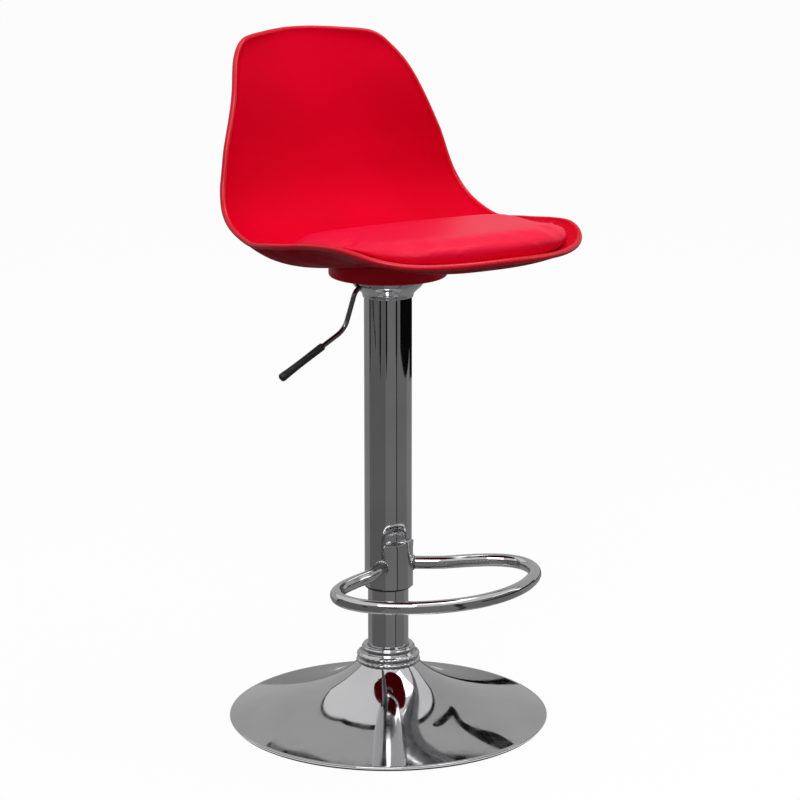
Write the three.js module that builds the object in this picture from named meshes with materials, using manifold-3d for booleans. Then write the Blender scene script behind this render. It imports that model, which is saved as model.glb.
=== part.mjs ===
// A diner counter stool: a moulded bucket seat with a pad, on a telescoping chrome column
// with a foot ring, a gas spring and a trumpet base. Millimetres, +Z up.
// The origin is on the column's axis at the floor. The sitter faces -Y, and the lever is on -X.

import * as THREE from "three";
import { mergeVertices } from "three/addons/utils/BufferGeometryUtils.js";
import Module from "manifold-3d";

const wasm = await Module();
wasm.setup();

// Counts of flat sides and steps
const baseSides = 48;
const plateSides = 28;
const tubeSides = 28;
const coreSides = 18;
const smallSides = 12;
const ringSides = 12;
const ringBoreSides = 6;
const ringSteps = 44;
const leverSides = 8;
const leverSteps = 26;
const shellAround = 56;
const padAround = 38;
const ballCount = 8;
const ballSides = 6;

// Clearances
const seatGap = 0.3;
const runGap = 0.4;
const tightGap = 0.1;
const cutOverrun = 2;

// Base: the trumpet cover, its rubber ring, plates and collar
const baseRadius = 197.5;
const baseSheet = 1.6;
const lipTop = 5;
const lipBottom = 2.5;
const lipWidth = 3.2;
const coneShare = 0.1;
const flareLength = 26;
const flareCentreRadius = 12;
const neckRadius = 28;
const coverOuterShares = [0.14, 0.16, 0.19, 0.23, 0.29, 0.37, 0.48, 0.64, 0.83, 0.985];
const coverInnerShares = [0.14, 0.19, 0.29, 0.42, 0.64];
const floorRingInset = 2.5;
const floorRingWidth = 23;
const floorRingBevel = 1.6;
const floorRingShelf = 8;
const floorRingSlope = 5;
const plateUnderside = 5;
const bottomPlateInset = 19.5;
const bottomPlateThickness = 2.5;
const ballastInset = 47.5;
const ballastThickness = 8;
const hubHoleRadius = 18;
const hubCapRadius = 24;
const hubStemHeight = 4;
const baseBoltCount = 4;
const baseBoltCircle = 36.5;
const baseBoltRadius = 4;
const baseBoltHeadRadius = 6.5;
const baseBoltHeadHeight = 4;
const collarHeight = 23;
const collarTopRadius = 31.5;
const collarRadius = 39.6;
const collarFootInset = 1;
const collarCoverGap = 0.6;
const collarBoreRise = 3;
const collarWidthShares = [1, 1, 0.72, 0.51, 0.68, 0.51, 0.06, 0.2, 0];
const collarRiseShares = [0.05, 0.18, 0.29, 0.33, 0.43, 0.58, 0.65, 0.81, 1];

// Column with its floor plate, the gas spring and the thrust bearing
const columnRadius = 25;
const columnWall = 2;
const columnTop = 430;
const flangeRadius = 48;
const flangeThickness = 5;
const columnFloorRise = 12.5;
const columnFloorThickness = 6;
const bushLength = 50;
const bushFlange = 3;
const rodRadius = 5;
const rodTailLength = 8;
const rodTop = 346;
const shoulderRadius = 8;
const shoulderThickness = 3;
const washerRadius = 14;
const washerThickness = 2;
const ballRadius = 2;
const ballCircle = 10;
const cageThickness = 2;
const cageWidth = 5;
const clipThickness = 1.5;
const clipWidth = 4.4;
const clipGrooveDepth = 1;
const clipMouthAngle = 1.1;
const bumperRadius = 12;
const bumperHeight = 20;
const pistonHeight = 12;
const pistonRecess = 2;
const cylinderRadius = 14;
const cylinderWall = 2.1;
const cylinderBottom = 116;
const cylinderTop = 541;
const cylinderGuide = 10;
const cylinderHead = 12;
const taperLength = 41;
const taperRadius = 13.2;
const valvePinRadius = 2.5;
const valvePinLength = 24;

// Cover tube with its guide, spacer and top cup
const tubeRadius = 29;
const tubeWall = 1.5;
const tubeTop = 540;
const guideLength = 29;
const guideFlange = 2.6;
const spacerHeight = 10;
const spacerRise = 6;
const cupSheet = 1.4;
const cupSleeve = 8;
const cupRadius = 44.4;
const cupWidthShares = [0, 0.02, 0.2, 0.6, 1];
const cupRiseShares = [0, 0.36, 0.6, 0.8, 1];
const cupLeanShares = [0, 0, 0.4, 0.5, 0];

// Seat bracket, lever and the round cover under the seat
const socketRadius = 19;
const plateTop = 568;
const bracketPlate = 3;
const bracketHalf = 52;
const bracketCorner = 18;
const seatBoltOffset = 38;
const seatBoltRadius = 3;
const seatBoltHeadRadius = 5.2;
const seatBoltHead = 3;
const seatBoltLength = 10.2;
const seatWasherRadius = 7.5;
const seatWasherThickness = 1.2;
const insertRadius = 4.3;
const insertLength = 6.5;
const bossRadius = 9;
const discRadius = 71.5;
const discBottom = 557;
const discFloor = 3;
const discWall = 2.5;
const discCorner = 4;
const discHole = 31;
const leverRadius = 3;
const leverHeight = 547.4;
const leverInnerReach = 3;
const leverBendReach = 45;
const leverKneeReach = 61.7;
const leverKneeHeight = 498;
const leverEndReach = 152;
const leverEndHeight = 448.3;
const leverBendRadius = 9;
const leverCoreShare = 0.6;
const gripStartShare = 0.335;
const gripRadius = 5.2;
const gripNeckRadius = 4.4;
const gripWidthShares = [0.72, 0.9, 0.9, 0.86, 0.92, 1, 1, 0.78];
const gripLengthShares = [0, 0.03, 0.12, 0.45, 0.8, 0.92, 0.965, 1];
const pivotReach = 23.5;
const pivotPinRadius = 2;
const pivotBarrelRadius = 4.2;
const pivotBarrelHalf = 4.2;
const earThickness = 3;
const earHalfWidth = 4;
const earDrop = 24.5;
const leverSlotHalf = 4.4;
const leverSlotRise = 6;

// Bucket shell: the centre line from the top of the back to the front edge, and its sides
const shellThickness = 5;
const shellBeadRadius = 3.6;
const shellBack = 206;
const shellFront = 250;
const shellFloor = 577;
const backHeight = 262;
const shellHalfWidth = 185;
const sideRise = 100;
const sidePower = 2;
const centreShares = [
  [0, 1.003], [0.072, 0.719], [0.11, 0.437], [0.145, 0.2635], [0.202, 0.142], [0.289, 0.0545],
  [0.399, 0.001], [0.526, 0.0215], [0.658, 0.0497], [0.789, 0.067], [0.91, 0.086], [1, 0.144],
];
const sideStationShares = [0.012, 0.03, 0.07, 0.14, 0.24, 0.34, 0.44, 0.54, 0.64, 0.74, 0.84, 0.92, 0.97];
const sideWidthShares = [
  0.28, 0.485, 0.613, 0.716, 0.834, 0.903, 0.954, 0.969, 0.985, 0.936, 0.886, 0.737, 0.48,
];
const sideRiseShares = [
  1.05, 0.89, 0.754, 0.793, 0.676, 0.527, 0.407, 0.425, 0.384, 0.433, 0.476, 0.446, 0.444,
];
const powerStationShares = [0.1, 0.3, 0.42, 0.55, 0.75];
const powerShares = [0.91, 1.19, 1.595, 2.21, 1.36];
const shellPoleShare = 0.64;
const shellRingShares = [0.12, 0.21, 0.29, 0.37, 0.45, 0.55, 0.67, 0.79, 0.89, 0.955];
const shellUnderShares = [0.16, 0.27, 0.36, 0.46, 0.62, 0.8, 0.93];
const beadAngleShares = [0.14, 0.38, 0.62, 0.86];
const slopeStepShare = 0.002;
const trimRings = 4;

// Seat pad on the shell's floor
const padRearShare = 0.45;
const padFrontShare = 0.977;
const padPoleShare = 0.68;
const padSideInset = 11.3;
const padRearRound = 184;
const padTopHeight = 48;
const padCrown = 3;
const padStationShares = [0.43, 0.5, 0.58, 0.66, 0.75, 0.84, 0.92, 0.98];
const padHeightShares = [0.47, 0.55, 0.74, 0.95, 1.01, 1.09, 1.18, 1.27];
const padLeastThickness = 7;
const padEdgeShares = [[0.975, 0], [1, 0.35], [0.994, 0.66], [0.956, 0.9], [0.875, 1]];
const padTopRingShares = [0.75, 0.5, 0.25];
const padFloorRingShares = [0.2, 0.4, 0.55, 0.68, 0.8, 0.9];

// Foot ring and its saddle on the cover tube
const ringHeight = 199.5;
const ringTubeRadius = 8;
const ringTubeWall = 1.5;
const ringReach = 196;
const ringHalfWidth = 133;
const ringPathShares = [
  [0.1163, 0.0226], [0.205, 0.4], [0.265, 0.625], [0.328, 0.81], [0.41, 0.943], [0.51, 1], [0.62, 0.979],
  [0.726, 0.895], [0.825, 0.744], [0.913, 0.541], [0.977, 0.28],
];
const ringDrop = 28.5;
const saddleThickness = 1.8;
const saddleHeight = 65;
const saddleHalfAngle = 0.813;
const saddleCorner = 11;
const saddleFlareHeight = 12;
const saddleFlareOut = 3.6;
const saddleColumns = 14;
const saddleRowShares = [0, 0.4, 0.75, 0.82, 0.88, 0.93, 0.97, 1];

// Heights and radii that follow from the sizes above
const ballastBottom = plateUnderside + bottomPlateThickness;
const columnBottom = ballastBottom + ballastThickness;
const columnFloor = columnBottom + columnFloorRise;
const bearingBottom = columnFloor + columnFloorThickness;
const raceBottom = bearingBottom + washerThickness;
const raceHeight = 2 * (ballRadius + tightGap);
const upperWasherBottom = raceBottom + raceHeight;
const shoulderBottom = upperWasherBottom + washerThickness;
const rodBottom = columnFloor - rodTailLength;
const clipBottom = columnFloor - washerThickness - clipThickness;
const columnBore = columnRadius - columnWall;
const tubeBottom = ringHeight - ringDrop;
const tubeBore = tubeRadius - tubeWall;
const cylinderBore = cylinderRadius - cylinderWall;
const socketBottom = cylinderTop - taperLength;
const bracketUnderside = plateTop - bracketPlate;
const cupTop = discBottom - seatGap;
const saddleInner = tubeRadius + seatGap;
const saddleOuter = saddleInner + saddleThickness;

// Finishes
function finish(color, roughness, metalness) {
  return new THREE.MeshStandardMaterial({ color, roughness, metalness });
}

const chrome = () => finish(0x8d8c90, 0.08, 1);
const zincSteel = () => finish(0x9a9c9f, 0.35, 1);
const castIron = () => finish(0x3a3b3d, 0.75, 0.6);
const blackRubber = () => finish(0x171717, 0.9, 0);
const blackPlastic = () => finish(0x1b1b1c, 0.5, 0);
const greyPlastic = () => finish(0x6f7276, 0.55, 0);
const brass = () => finish(0xb08d4a, 0.35, 1);
const redShell = () => finish(0xc8102e, 0.42, 0);
const redLeatherette = () => finish(0xd4122f, 0.38, 0);
const redCover = () => finish(0x6e0a1a, 0.5, 0);

const group = new THREE.Group();

// Adds one named piece to the stool.
function place(name, geometry, material) {
  const mesh = new THREE.Mesh(geometry, material);
  mesh.name = name;
  group.add(mesh);
}

// Shape helpers

// Six times the volume that a closed mesh encloses, positive where its faces point out.
function signedVolume(geometry) {
  const index = geometry.index.array;
  const a = new THREE.Vector3();
  const b = new THREE.Vector3();
  const c = new THREE.Vector3();
  const points = geometry.attributes.position;
  let total = 0;
  for (let i = 0; i < index.length; i += 3) {
    a.fromBufferAttribute(points, index[i]);
    b.fromBufferAttribute(points, index[i + 1]);
    c.fromBufferAttribute(points, index[i + 2]);
    total += a.dot(b.cross(c));
  }
  return total;
}

// Merges shared corners, drops empty triangles and turns the faces outwards.
function closed(geometry) {
  geometry.deleteAttribute("normal");
  geometry.deleteAttribute("uv");
  const merged = mergeVertices(geometry, 1e-4);
  const source = merged.index.array;
  const kept = [];
  for (let i = 0; i < source.length; i += 3) {
    const [a, b, c] = source.slice(i, i + 3);
    if (a !== b && b !== c && c !== a) kept.push(a, b, c);
  }
  merged.setIndex(kept);
  if (signedVolume(merged) < 0) {
    for (let i = 0; i < kept.length; i += 3) [kept[i], kept[i + 1]] = [kept[i + 1], kept[i]];
    merged.setIndex(kept);
  }
  return merged;
}

// A closed profile of [radius, height] points turned about the Z axis.
function turned(profile, sides) {
  const points = profile.map(([radius, height]) => new THREE.Vector2(radius, height));
  points.push(points[0].clone());
  return closed(new THREE.LatheGeometry(points, sides).rotateX(Math.PI / 2));
}

// A ring or, with an inner radius of zero, a disc between two heights.
function sleeve(inner, outer, low, high, sides) {
  return turned([[inner, low], [outer, low], [outer, high], [inner, high]], sides);
}

// An upright prism of a flat shape between two heights.
function upright(shape, low, high, sides = smallSides) {
  const options = { depth: high - low, bevelEnabled: false, curveSegments: sides };
  return closed(new THREE.ExtrudeGeometry(shape, options).translate(0, 0, low));
}

// A bar of round section along the Y axis, centred at (x, z).
function crossPin(x, z, radius, halfLength) {
  const bar = new THREE.CylinderGeometry(radius, radius, 2 * halfLength, smallSides);
  return closed(bar.translate(x, 0, z));
}

// A box from its lowest to its highest corner.
function block(low, high) {
  const size = high.map((value, axis) => value - low[axis]);
  const box = new THREE.BoxGeometry(...size);
  return closed(box.translate(...low.map((value, axis) => value + size[axis] / 2)));
}

// A bar of round section along a curve.
function pipe(curve, radius, steps, sides) {
  const section = new THREE.Shape();
  section.absarc(0, 0, radius, 0, 2 * Math.PI);
  const options = { steps, extrudePath: curve, bevelEnabled: false, curveSegments: sides / 2 };
  return closed(new THREE.ExtrudeGeometry(section, options));
}

function toManifold(geometry) {
  const vertProperties = new Float32Array(geometry.attributes.position.array);
  const triVerts = new Uint32Array(geometry.index.array);
  return new wasm.Manifold(new wasm.Mesh({ numProp: 3, vertProperties, triVerts }));
}

function fromManifold(solid) {
  const mesh = solid.getMesh();
  const geometry = new THREE.BufferGeometry();
  geometry.setAttribute("position", new THREE.BufferAttribute(new Float32Array(mesh.vertProperties), 3));
  geometry.setIndex(new THREE.BufferAttribute(new Uint32Array(mesh.triVerts), 1));
  return geometry;
}

function cut(geometry, ...tools) {
  const solid = tools.reduce((left, tool) => left.subtract(toManifold(tool)), toManifold(geometry));
  return fromManifold(solid);
}

function join(geometry, ...others) {
  const solid = others.reduce((left, other) => left.add(toManifold(other)), toManifold(geometry));
  return fromManifold(solid);
}

// A closed skin through rows of points; a row of one point is a pole.
function skin(rows, wraps) {
  const points = rows.flat();
  const starts = [];
  rows.reduce((start, row) => {
    starts.push(start);
    return start + row.length;
  }, 0);
  const index = [];
  for (let r = 0; r + 1 < rows.length; r += 1) {
    const count = Math.max(rows[r].length, rows[r + 1].length);
    const pick = (row, i) => starts[row] + (rows[row].length === 1 ? 0 : i % rows[row].length);
    for (let i = 0; i < (wraps ? count : count - 1); i += 1) {
      const [a, b, c, d] = [pick(r, i), pick(r, i + 1), pick(r + 1, i + 1), pick(r + 1, i)];
      index.push(a, b, c, a, c, d);
    }
  }
  const geometry = new THREE.BufferGeometry().setFromPoints(points);
  geometry.setIndex(index);
  return closed(geometry);
}

// A smooth value through [station, value, ...] rows, with slopes taken from the neighbours.
function smooth(rows, station) {
  const last = rows.length - 1;
  const x = THREE.MathUtils.clamp(station, rows[0][0], rows[last][0]);
  let i = 0;
  while (i < last - 1 && x > rows[i + 1][0]) i += 1;
  const slope = (k, column) => {
    const before = rows[Math.max(k - 1, 0)];
    const after = rows[Math.min(k + 1, last)];
    return (after[column] - before[column]) / (after[0] - before[0]);
  };
  const span = rows[i + 1][0] - rows[i][0];
  const t = (x - rows[i][0]) / span;
  return rows[i].slice(1).map((value, k) => {
    const column = k + 1;
    const rise = rows[i + 1][column] - value;
    const bend = t * (1 - t) * (span * (slope(i, column) * (1 - t) - slope(i + 1, column) * t));
    return value + rise * t * t * (3 - 2 * t) + bend;
  });
}

// Base

// Height of the trumpet's outer face: a straight cone plus a flare that steepens towards the axis.
function coverHeight(radius) {
  const flare = Math.log((baseRadius - flareCentreRadius) / (radius - flareCentreRadius));
  return lipTop + coneShare * (baseRadius - radius) + flareLength * flare;
}

function coverInnerHeight(radius) {
  const slope = coneShare + flareLength / (radius - flareCentreRadius);
  return coverHeight(radius) - baseSheet * Math.hypot(1, slope);
}

function baseCover() {
  const outerRadii = coverOuterShares.map((share) => share * baseRadius);
  const innerRadii = coverInnerShares.map((share) => share * baseRadius);
  const outer = outerRadii.map((radius) => [radius, coverHeight(radius)]);
  const inner = innerRadii.map((radius) => [radius, coverInnerHeight(radius)]);
  const innerEnd = baseRadius - lipWidth;
  const middle = (lipTop + lipBottom) / 2;
  const lip = [
    [baseRadius - baseSheet / 3, lipTop - baseSheet / 4],
    [baseRadius, middle],
    [baseRadius - baseSheet / 2, lipBottom],
    [innerEnd, lipBottom],
    [innerEnd - baseSheet, coverInnerHeight(innerEnd - baseSheet)],
  ];
  return turned([...outer, ...lip, ...inner.reverse()], baseSides);
}

function floorRing() {
  const outer = baseRadius - floorRingInset;
  const inner = outer - floorRingWidth;
  const shelf = outer - floorRingShelf;
  return turned([
    [inner, 0],
    [outer - floorRingBevel, 0],
    [outer, floorRingBevel],
    [outer, lipBottom],
    [shelf, lipBottom],
    [shelf - floorRingSlope, plateUnderside],
    [inner, plateUnderside],
  ], baseSides);
}

function boltPlace(index) {
  const angle = (index + 0.5) * (2 * Math.PI / baseBoltCount);
  return [baseBoltCircle * Math.cos(angle), baseBoltCircle * Math.sin(angle)];
}

function baseBoltHoles(low, high) {
  return Array.from({ length: baseBoltCount }, (_, index) => {
    const hole = sleeve(0, baseBoltRadius + seatGap, low - cutOverrun, high + cutOverrun, smallSides);
    return hole.translate(...boltPlace(index), 0);
  });
}

function drilledDisc(outer, low, high) {
  return cut(sleeve(hubHoleRadius, outer, low, high, plateSides), ...baseBoltHoles(low, high));
}

function hubCap() {
  const stem = hubHoleRadius - runGap;
  const stemTop = plateUnderside + hubStemHeight;
  return turned([
    [0, 0], [hubCapRadius, 0], [hubCapRadius, plateUnderside],
    [stem, plateUnderside], [stem, stemTop], [0, stemTop],
  ], coreSides);
}

function lowerColumn() {
  const flangeTop = columnBottom + flangeThickness;
  const column = turned([
    [hubHoleRadius, columnBottom], [flangeRadius, columnBottom],
    [flangeRadius, flangeTop], [columnRadius, flangeTop],
    [columnRadius, columnTop], [columnBore, columnTop],
    [columnBore, bearingBottom], [rodRadius + runGap, bearingBottom],
    [rodRadius + runGap, columnFloor], [hubHoleRadius, columnFloor],
  ], tubeSides);
  return cut(column, ...baseBoltHoles(columnBottom, flangeTop));
}

// A hexagon-headed bolt pointing up from the underside of what it clamps.
function hexBolt(radius, headRadius, headHeight, seat, tip) {
  const head = sleeve(0, headRadius, seat - headHeight, seat, 6);
  return join(head, sleeve(0, radius, seat - headHeight / 2, tip, smallSides));
}

function baseBolt() {
  const tip = columnBottom + flangeThickness;
  return hexBolt(baseBoltRadius, baseBoltHeadRadius, baseBoltHeadHeight, plateUnderside, tip);
}

// The stepped collar that hides the joint between the trumpet's neck and the column.
function baseCollar() {
  const footRadius = collarRadius - collarFootInset;
  const under = [neckRadius, (neckRadius + footRadius) / 2, footRadius].map((radius) => (
    [radius, coverHeight(radius) + collarCoverGap]
  ));
  const foot = under[under.length - 1][1];
  const beads = collarWidthShares.map((share, i) => [
    collarTopRadius + share * (collarRadius - collarTopRadius),
    foot + collarRiseShares[i] * collarHeight,
  ]);
  const bore = columnRadius + seatGap;
  return turned([
    ...under,
    ...beads,
    [bore, foot + collarHeight],
    [bore, under[0][1] + collarBoreRise],
  ], tubeSides);
}

// Column internals

function columnBush() {
  const inner = cylinderRadius + runGap;
  const outer = columnBore - tightGap;
  return turned([
    [inner, columnTop - bushLength], [outer, columnTop - bushLength],
    [outer, columnTop], [columnRadius, columnTop],
    [columnRadius, columnTop + bushFlange], [inner, columnTop + bushFlange],
  ], tubeSides);
}

// Balls in their cage, as one ring.
function bearingRace() {
  const middle = raceBottom + raceHeight / 2;
  const inner = ballCircle - cageWidth / 2;
  const cage = sleeve(inner, inner + cageWidth, middle - cageThickness / 2, middle + cageThickness / 2, coreSides);
  const balls = Array.from({ length: ballCount }, (_, index) => {
    const angle = index * (2 * Math.PI / ballCount);
    const ball = closed(new THREE.SphereGeometry(ballRadius, ballSides, ballSides - 2));
    return ball.translate(ballCircle * Math.cos(angle), ballCircle * Math.sin(angle), middle);
  });
  return join(cage, ...balls);
}

function pistonRod() {
  const groove = rodRadius - clipGrooveDepth;
  const clipTop = clipBottom + clipThickness;
  return turned([
    [0, rodBottom], [rodRadius, rodBottom],
    [rodRadius, clipBottom - tightGap], [groove, clipBottom - tightGap],
    [groove, clipTop + tightGap], [rodRadius, clipTop + tightGap],
    [rodRadius, shoulderBottom], [shoulderRadius, shoulderBottom],
    [shoulderRadius, shoulderBottom + shoulderThickness], [rodRadius, shoulderBottom + shoulderThickness],
    [rodRadius, rodTop], [0, rodTop],
  ], coreSides);
}

function rodClip() {
  const inner = rodRadius - clipGrooveDepth + seatGap;
  const shape = new THREE.Shape();
  shape.absarc(0, 0, inner + clipWidth, clipMouthAngle / 2, -clipMouthAngle / 2);
  shape.absarc(0, 0, inner, -clipMouthAngle / 2, clipMouthAngle / 2, true);
  return upright(shape, clipBottom, clipBottom + clipThickness, coreSides);
}

function piston() {
  const top = rodTop - pistonRecess;
  return sleeve(rodRadius + tightGap, cylinderBore - seatGap, top - pistonHeight, top, coreSides);
}

function gasCylinder() {
  const hole = rodRadius + runGap;
  const pinHole = valvePinRadius + seatGap;
  return turned([
    [hole, cylinderBottom], [cylinderRadius, cylinderBottom],
    [cylinderRadius, socketBottom], [taperRadius, cylinderTop],
    [pinHole, cylinderTop], [pinHole, cylinderTop - cylinderHead],
    [cylinderBore, cylinderTop - cylinderHead], [cylinderBore, cylinderBottom + cylinderGuide],
    [hole, cylinderBottom + cylinderGuide],
  ], coreSides);
}

function valvePin() {
  const top = leverHeight - leverRadius - runGap;
  return sleeve(0, valvePinRadius, top - valvePinLength, top, smallSides);
}

// Cover tube

function tubeGuide() {
  const inner = columnRadius + runGap;
  const outer = tubeBore - seatGap;
  return turned([
    [inner, tubeBottom - guideFlange], [tubeRadius - seatGap, tubeBottom - guideFlange],
    [tubeRadius - seatGap, tubeBottom], [outer, tubeBottom],
    [outer, tubeBottom + guideLength], [inner, tubeBottom + guideLength],
  ], tubeSides);
}

// The flared cup at the tube's top, slotted for the lever.
function topCup() {
  const inner = tubeRadius + seatGap;
  const low = tubeTop - cupSleeve;
  const rows = cupWidthShares.map((share, i) => [
    inner + share * (cupRadius - cupSheet - inner),
    low + cupRiseShares[i] * (cupTop - low),
  ]);
  const outer = rows.map(([radius, height], i) => (
    [radius + cupSheet, height - cupLeanShares[i] * cupSheet]
  ));
  const cup = turned([...outer, ...rows.reverse()], tubeSides);
  const slot = block(
    [-cupRadius - cutOverrun, -leverSlotHalf, leverHeight - leverRadius - seatGap * 3],
    [-tubeRadius + tubeWall, leverSlotHalf, cupTop + cutOverrun],
  );
  return cut(cup, slot);
}

// Seat bracket and lever

function roundedSquare(half, corner) {
  const shape = new THREE.Shape();
  const flat = half - corner;
  shape.absarc(flat, flat, corner, 0, Math.PI / 2);
  shape.absarc(-flat, flat, corner, Math.PI / 2, Math.PI);
  shape.absarc(-flat, -flat, corner, Math.PI, 1.5 * Math.PI);
  shape.absarc(flat, -flat, corner, 1.5 * Math.PI, 2 * Math.PI);
  return shape;
}

function atSeatBolts(build) {
  return [[1, 1], [-1, 1], [-1, -1], [1, -1]].map(([x, y]) => (
    build().translate(x * seatBoltOffset, y * seatBoltOffset, 0)
  ));
}

// The steel plate with the tapered socket and the two ears that carry the lever's pin.
function seatBracket() {
  const plate = upright(roundedSquare(bracketHalf, bracketCorner), bracketUnderside, plateTop, coreSides / 4);
  const bore = taperRadius + seatGap;
  const socket = turned([
    [cylinderRadius + seatGap, socketBottom], [socketRadius, socketBottom],
    [socketRadius, bracketUnderside + bracketPlate / 2], [bore, bracketUnderside + bracketPlate / 2],
    [bore, cylinderTop],
  ], coreSides);
  const gap = pivotBarrelHalf + runGap;
  const ears = [gap, -gap - earThickness].map((side) => block(
    [-pivotReach - earHalfWidth, side, bracketUnderside - earDrop],
    [-pivotReach + earHalfWidth, side + earThickness, bracketUnderside + bracketPlate / 2],
  ));
  const slot = block(
    [-socketRadius - cutOverrun, -leverSlotHalf, cylinderTop + seatGap],
    [0, leverSlotHalf, leverHeight + leverRadius + leverSlotRise],
  );
  const pinHole = crossPin(-pivotReach, leverHeight, pivotPinRadius + tightGap, socketRadius);
  const holes = atSeatBolts(() => (
    sleeve(0, seatBoltRadius + seatGap, bracketUnderside - cutOverrun, plateTop + cutOverrun, smallSides)
  ));
  return cut(join(plate, socket, ...ears), slot, pinHole, ...holes);
}

function leverPin() {
  return crossPin(-pivotReach, leverHeight, pivotPinRadius, pivotBarrelHalf + runGap + earThickness);
}

// A corner point rounded off between its two neighbours.
function roundedCorner(before, corner, after) {
  const start = corner.clone().add(before.clone().sub(corner).setLength(leverBendRadius));
  const end = corner.clone().add(after.clone().sub(corner).setLength(leverBendRadius));
  return new THREE.QuadraticBezierCurve3(start, corner, end);
}

function leverPoint(reach, height) {
  return new THREE.Vector3(-reach, 0, height);
}

function leverRod() {
  const start = leverPoint(-leverInnerReach, leverHeight);
  const bend = leverPoint(leverBendReach, leverHeight);
  const knee = leverPoint(leverKneeReach, leverKneeHeight);
  const end = leverPoint(leverEndReach, leverEndHeight);
  const tip = knee.clone().lerp(end, leverCoreShare);
  const first = roundedCorner(start, bend, knee);
  const second = roundedCorner(bend, knee, tip);
  const path = new THREE.CurvePath();
  path.add(new THREE.LineCurve3(start, first.v0));
  path.add(first);
  path.add(new THREE.LineCurve3(first.v2, second.v0));
  path.add(second);
  path.add(new THREE.LineCurve3(second.v2, tip));
  const rod = pipe(path, leverRadius, leverSteps, leverSides);
  const barrel = crossPin(-pivotReach, leverHeight, pivotBarrelRadius, pivotBarrelHalf);
  const hole = crossPin(-pivotReach, leverHeight, pivotPinRadius + tightGap, socketRadius);
  return cut(join(rod, barrel), hole);
}

// The plastic grip: a turned sleeve with a blind bore, laid along the lever's last stretch.
function leverGrip() {
  const knee = leverPoint(leverKneeReach, leverKneeHeight);
  const end = leverPoint(leverEndReach, leverEndHeight);
  const run = knee.distanceTo(end);
  const length = run * (1 - gripStartShare);
  const boreEnd = run * (leverCoreShare - gripStartShare) + runGap;
  const bore = leverRadius + seatGap;
  const outer = gripLengthShares.map((share, i) => [gripRadius * gripWidthShares[i], share * length]);
  const grip = turned([[bore, 0], ...outer, [0, length], [0, boreEnd], [bore, boreEnd]], smallSides);
  const direction = end.clone().sub(knee).normalize();
  const turn = new THREE.Quaternion().setFromUnitVectors(new THREE.Vector3(0, 0, 1), direction);
  const start = knee.clone().lerp(end, gripStartShare);
  return grip.applyQuaternion(turn).translate(start.x, start.y, start.z);
}

// Bucket shell

const centreRows = centreLine();
const developedLength = centreRows[centreRows.length - 1][3];

// Rows of [share of the developed length, forward, height, length so far] along the centre line.
function centreLine() {
  const points = centreShares.map(([alongShare, riseShare]) => new THREE.Vector2(
    alongShare * (shellBack + shellFront) - shellBack,
    shellFloor + riseShare * backHeight,
  ));
  let length = 0;
  const lengths = points.map((point, i) => {
    length += i === 0 ? 0 : point.distanceTo(points[i - 1]);
    return length;
  });
  return points.map((point, i) => [lengths[i] / length, point.x, point.y, lengths[i]]);
}

const sideRows = sideStationShares.map((share, i) => [share, sideWidthShares[i], sideRiseShares[i]]);
const outlineRows = [
  [0, 0],
  ...sideStationShares.map((share, i) => [Math.acos(1 - 2 * share) / Math.PI, sideWidthShares[i]]),
  [1, 0],
];
const powerRows = powerStationShares.map((share, i) => [share, powerShares[i]]);
const padRows = padStationShares.map((share, i) => [share, padHeightShares[i]]);

// The shell's upper face at a share of its developed length and a distance from the centre line.
function shellPoint(share, width) {
  const [forward, height] = smooth(centreRows, share);
  const [forwardNext, heightNext] = smooth(centreRows, share + slopeStepShare);
  const [forwardLast, heightLast] = smooth(centreRows, share - slopeStepShare);
  const along = new THREE.Vector2(forwardNext - forwardLast, heightNext - heightLast).normalize();
  const riseShare = smooth(sideRows, share)[1];
  const power = sidePower * smooth(powerRows, share)[0];
  const lift = sideRise * riseShare * (Math.abs(width) / shellHalfWidth) ** power;
  return new THREE.Vector3(width, -(forward - lift * along.y), height + lift * along.x);
}

// The shell's upper face normal, towards the sitter.
function shellNormal(share, width) {
  const step = slopeStepShare * developedLength;
  const along = shellPoint(share + slopeStepShare, width).sub(shellPoint(share - slopeStepShare, width));
  const across = shellPoint(share, width + step).sub(shellPoint(share, width - step));
  return along.cross(across).normalize();
}

// The outline at an angle about the seat: zero at the back's top and pi at the front edge.
function outlinePlace(angle) {
  const folded = angle <= Math.PI ? angle : 2 * Math.PI - angle;
  const width = shellHalfWidth * smooth(outlineRows, folded / Math.PI)[0];
  return new THREE.Vector2((1 - Math.cos(folded)) / 2, angle <= Math.PI ? width : -width);
}

// Points around the seat at a share of the way from a pole to an outline, less an inset length.
function aroundSeat(pole, outline, reachShare, inset, count, build) {
  return Array.from({ length: count }, (_, i) => {
    const rim = outline((2 * Math.PI * i) / count);
    const reach = Math.hypot((rim.x - pole) * developedLength, rim.y);
    const t = reachShare * (1 - inset / reach);
    return build(pole + (rim.x - pole) * t, rim.y * t, rim, i);
  });
}

function shellRow(reachShare, depth) {
  return aroundSeat(shellPoleShare, outlinePlace, reachShare, shellBeadRadius, shellAround, (share, width) => (
    shellPoint(share, width).addScaledVector(shellNormal(share, width), -depth)
  ));
}

// The rolled edge: part of a circle about a point midway through the wall, facing outwards.
function beadRow(angle) {
  return aroundSeat(shellPoleShare, outlinePlace, 1, shellBeadRadius, shellAround, (share, width) => {
    const normal = shellNormal(share, width);
    const here = shellPoint(share, width);
    const t = 1 - slopeStepShare;
    const inside = shellPoint(shellPoleShare + (share - shellPoleShare) * t, width * t);
    const out = here.clone().sub(inside).projectOnPlane(normal).normalize();
    const centre = here.addScaledVector(normal, -shellThickness / 2);
    centre.addScaledVector(normal, shellBeadRadius * Math.cos(angle));
    return centre.addScaledVector(out, shellBeadRadius * Math.sin(angle));
  });
}

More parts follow.
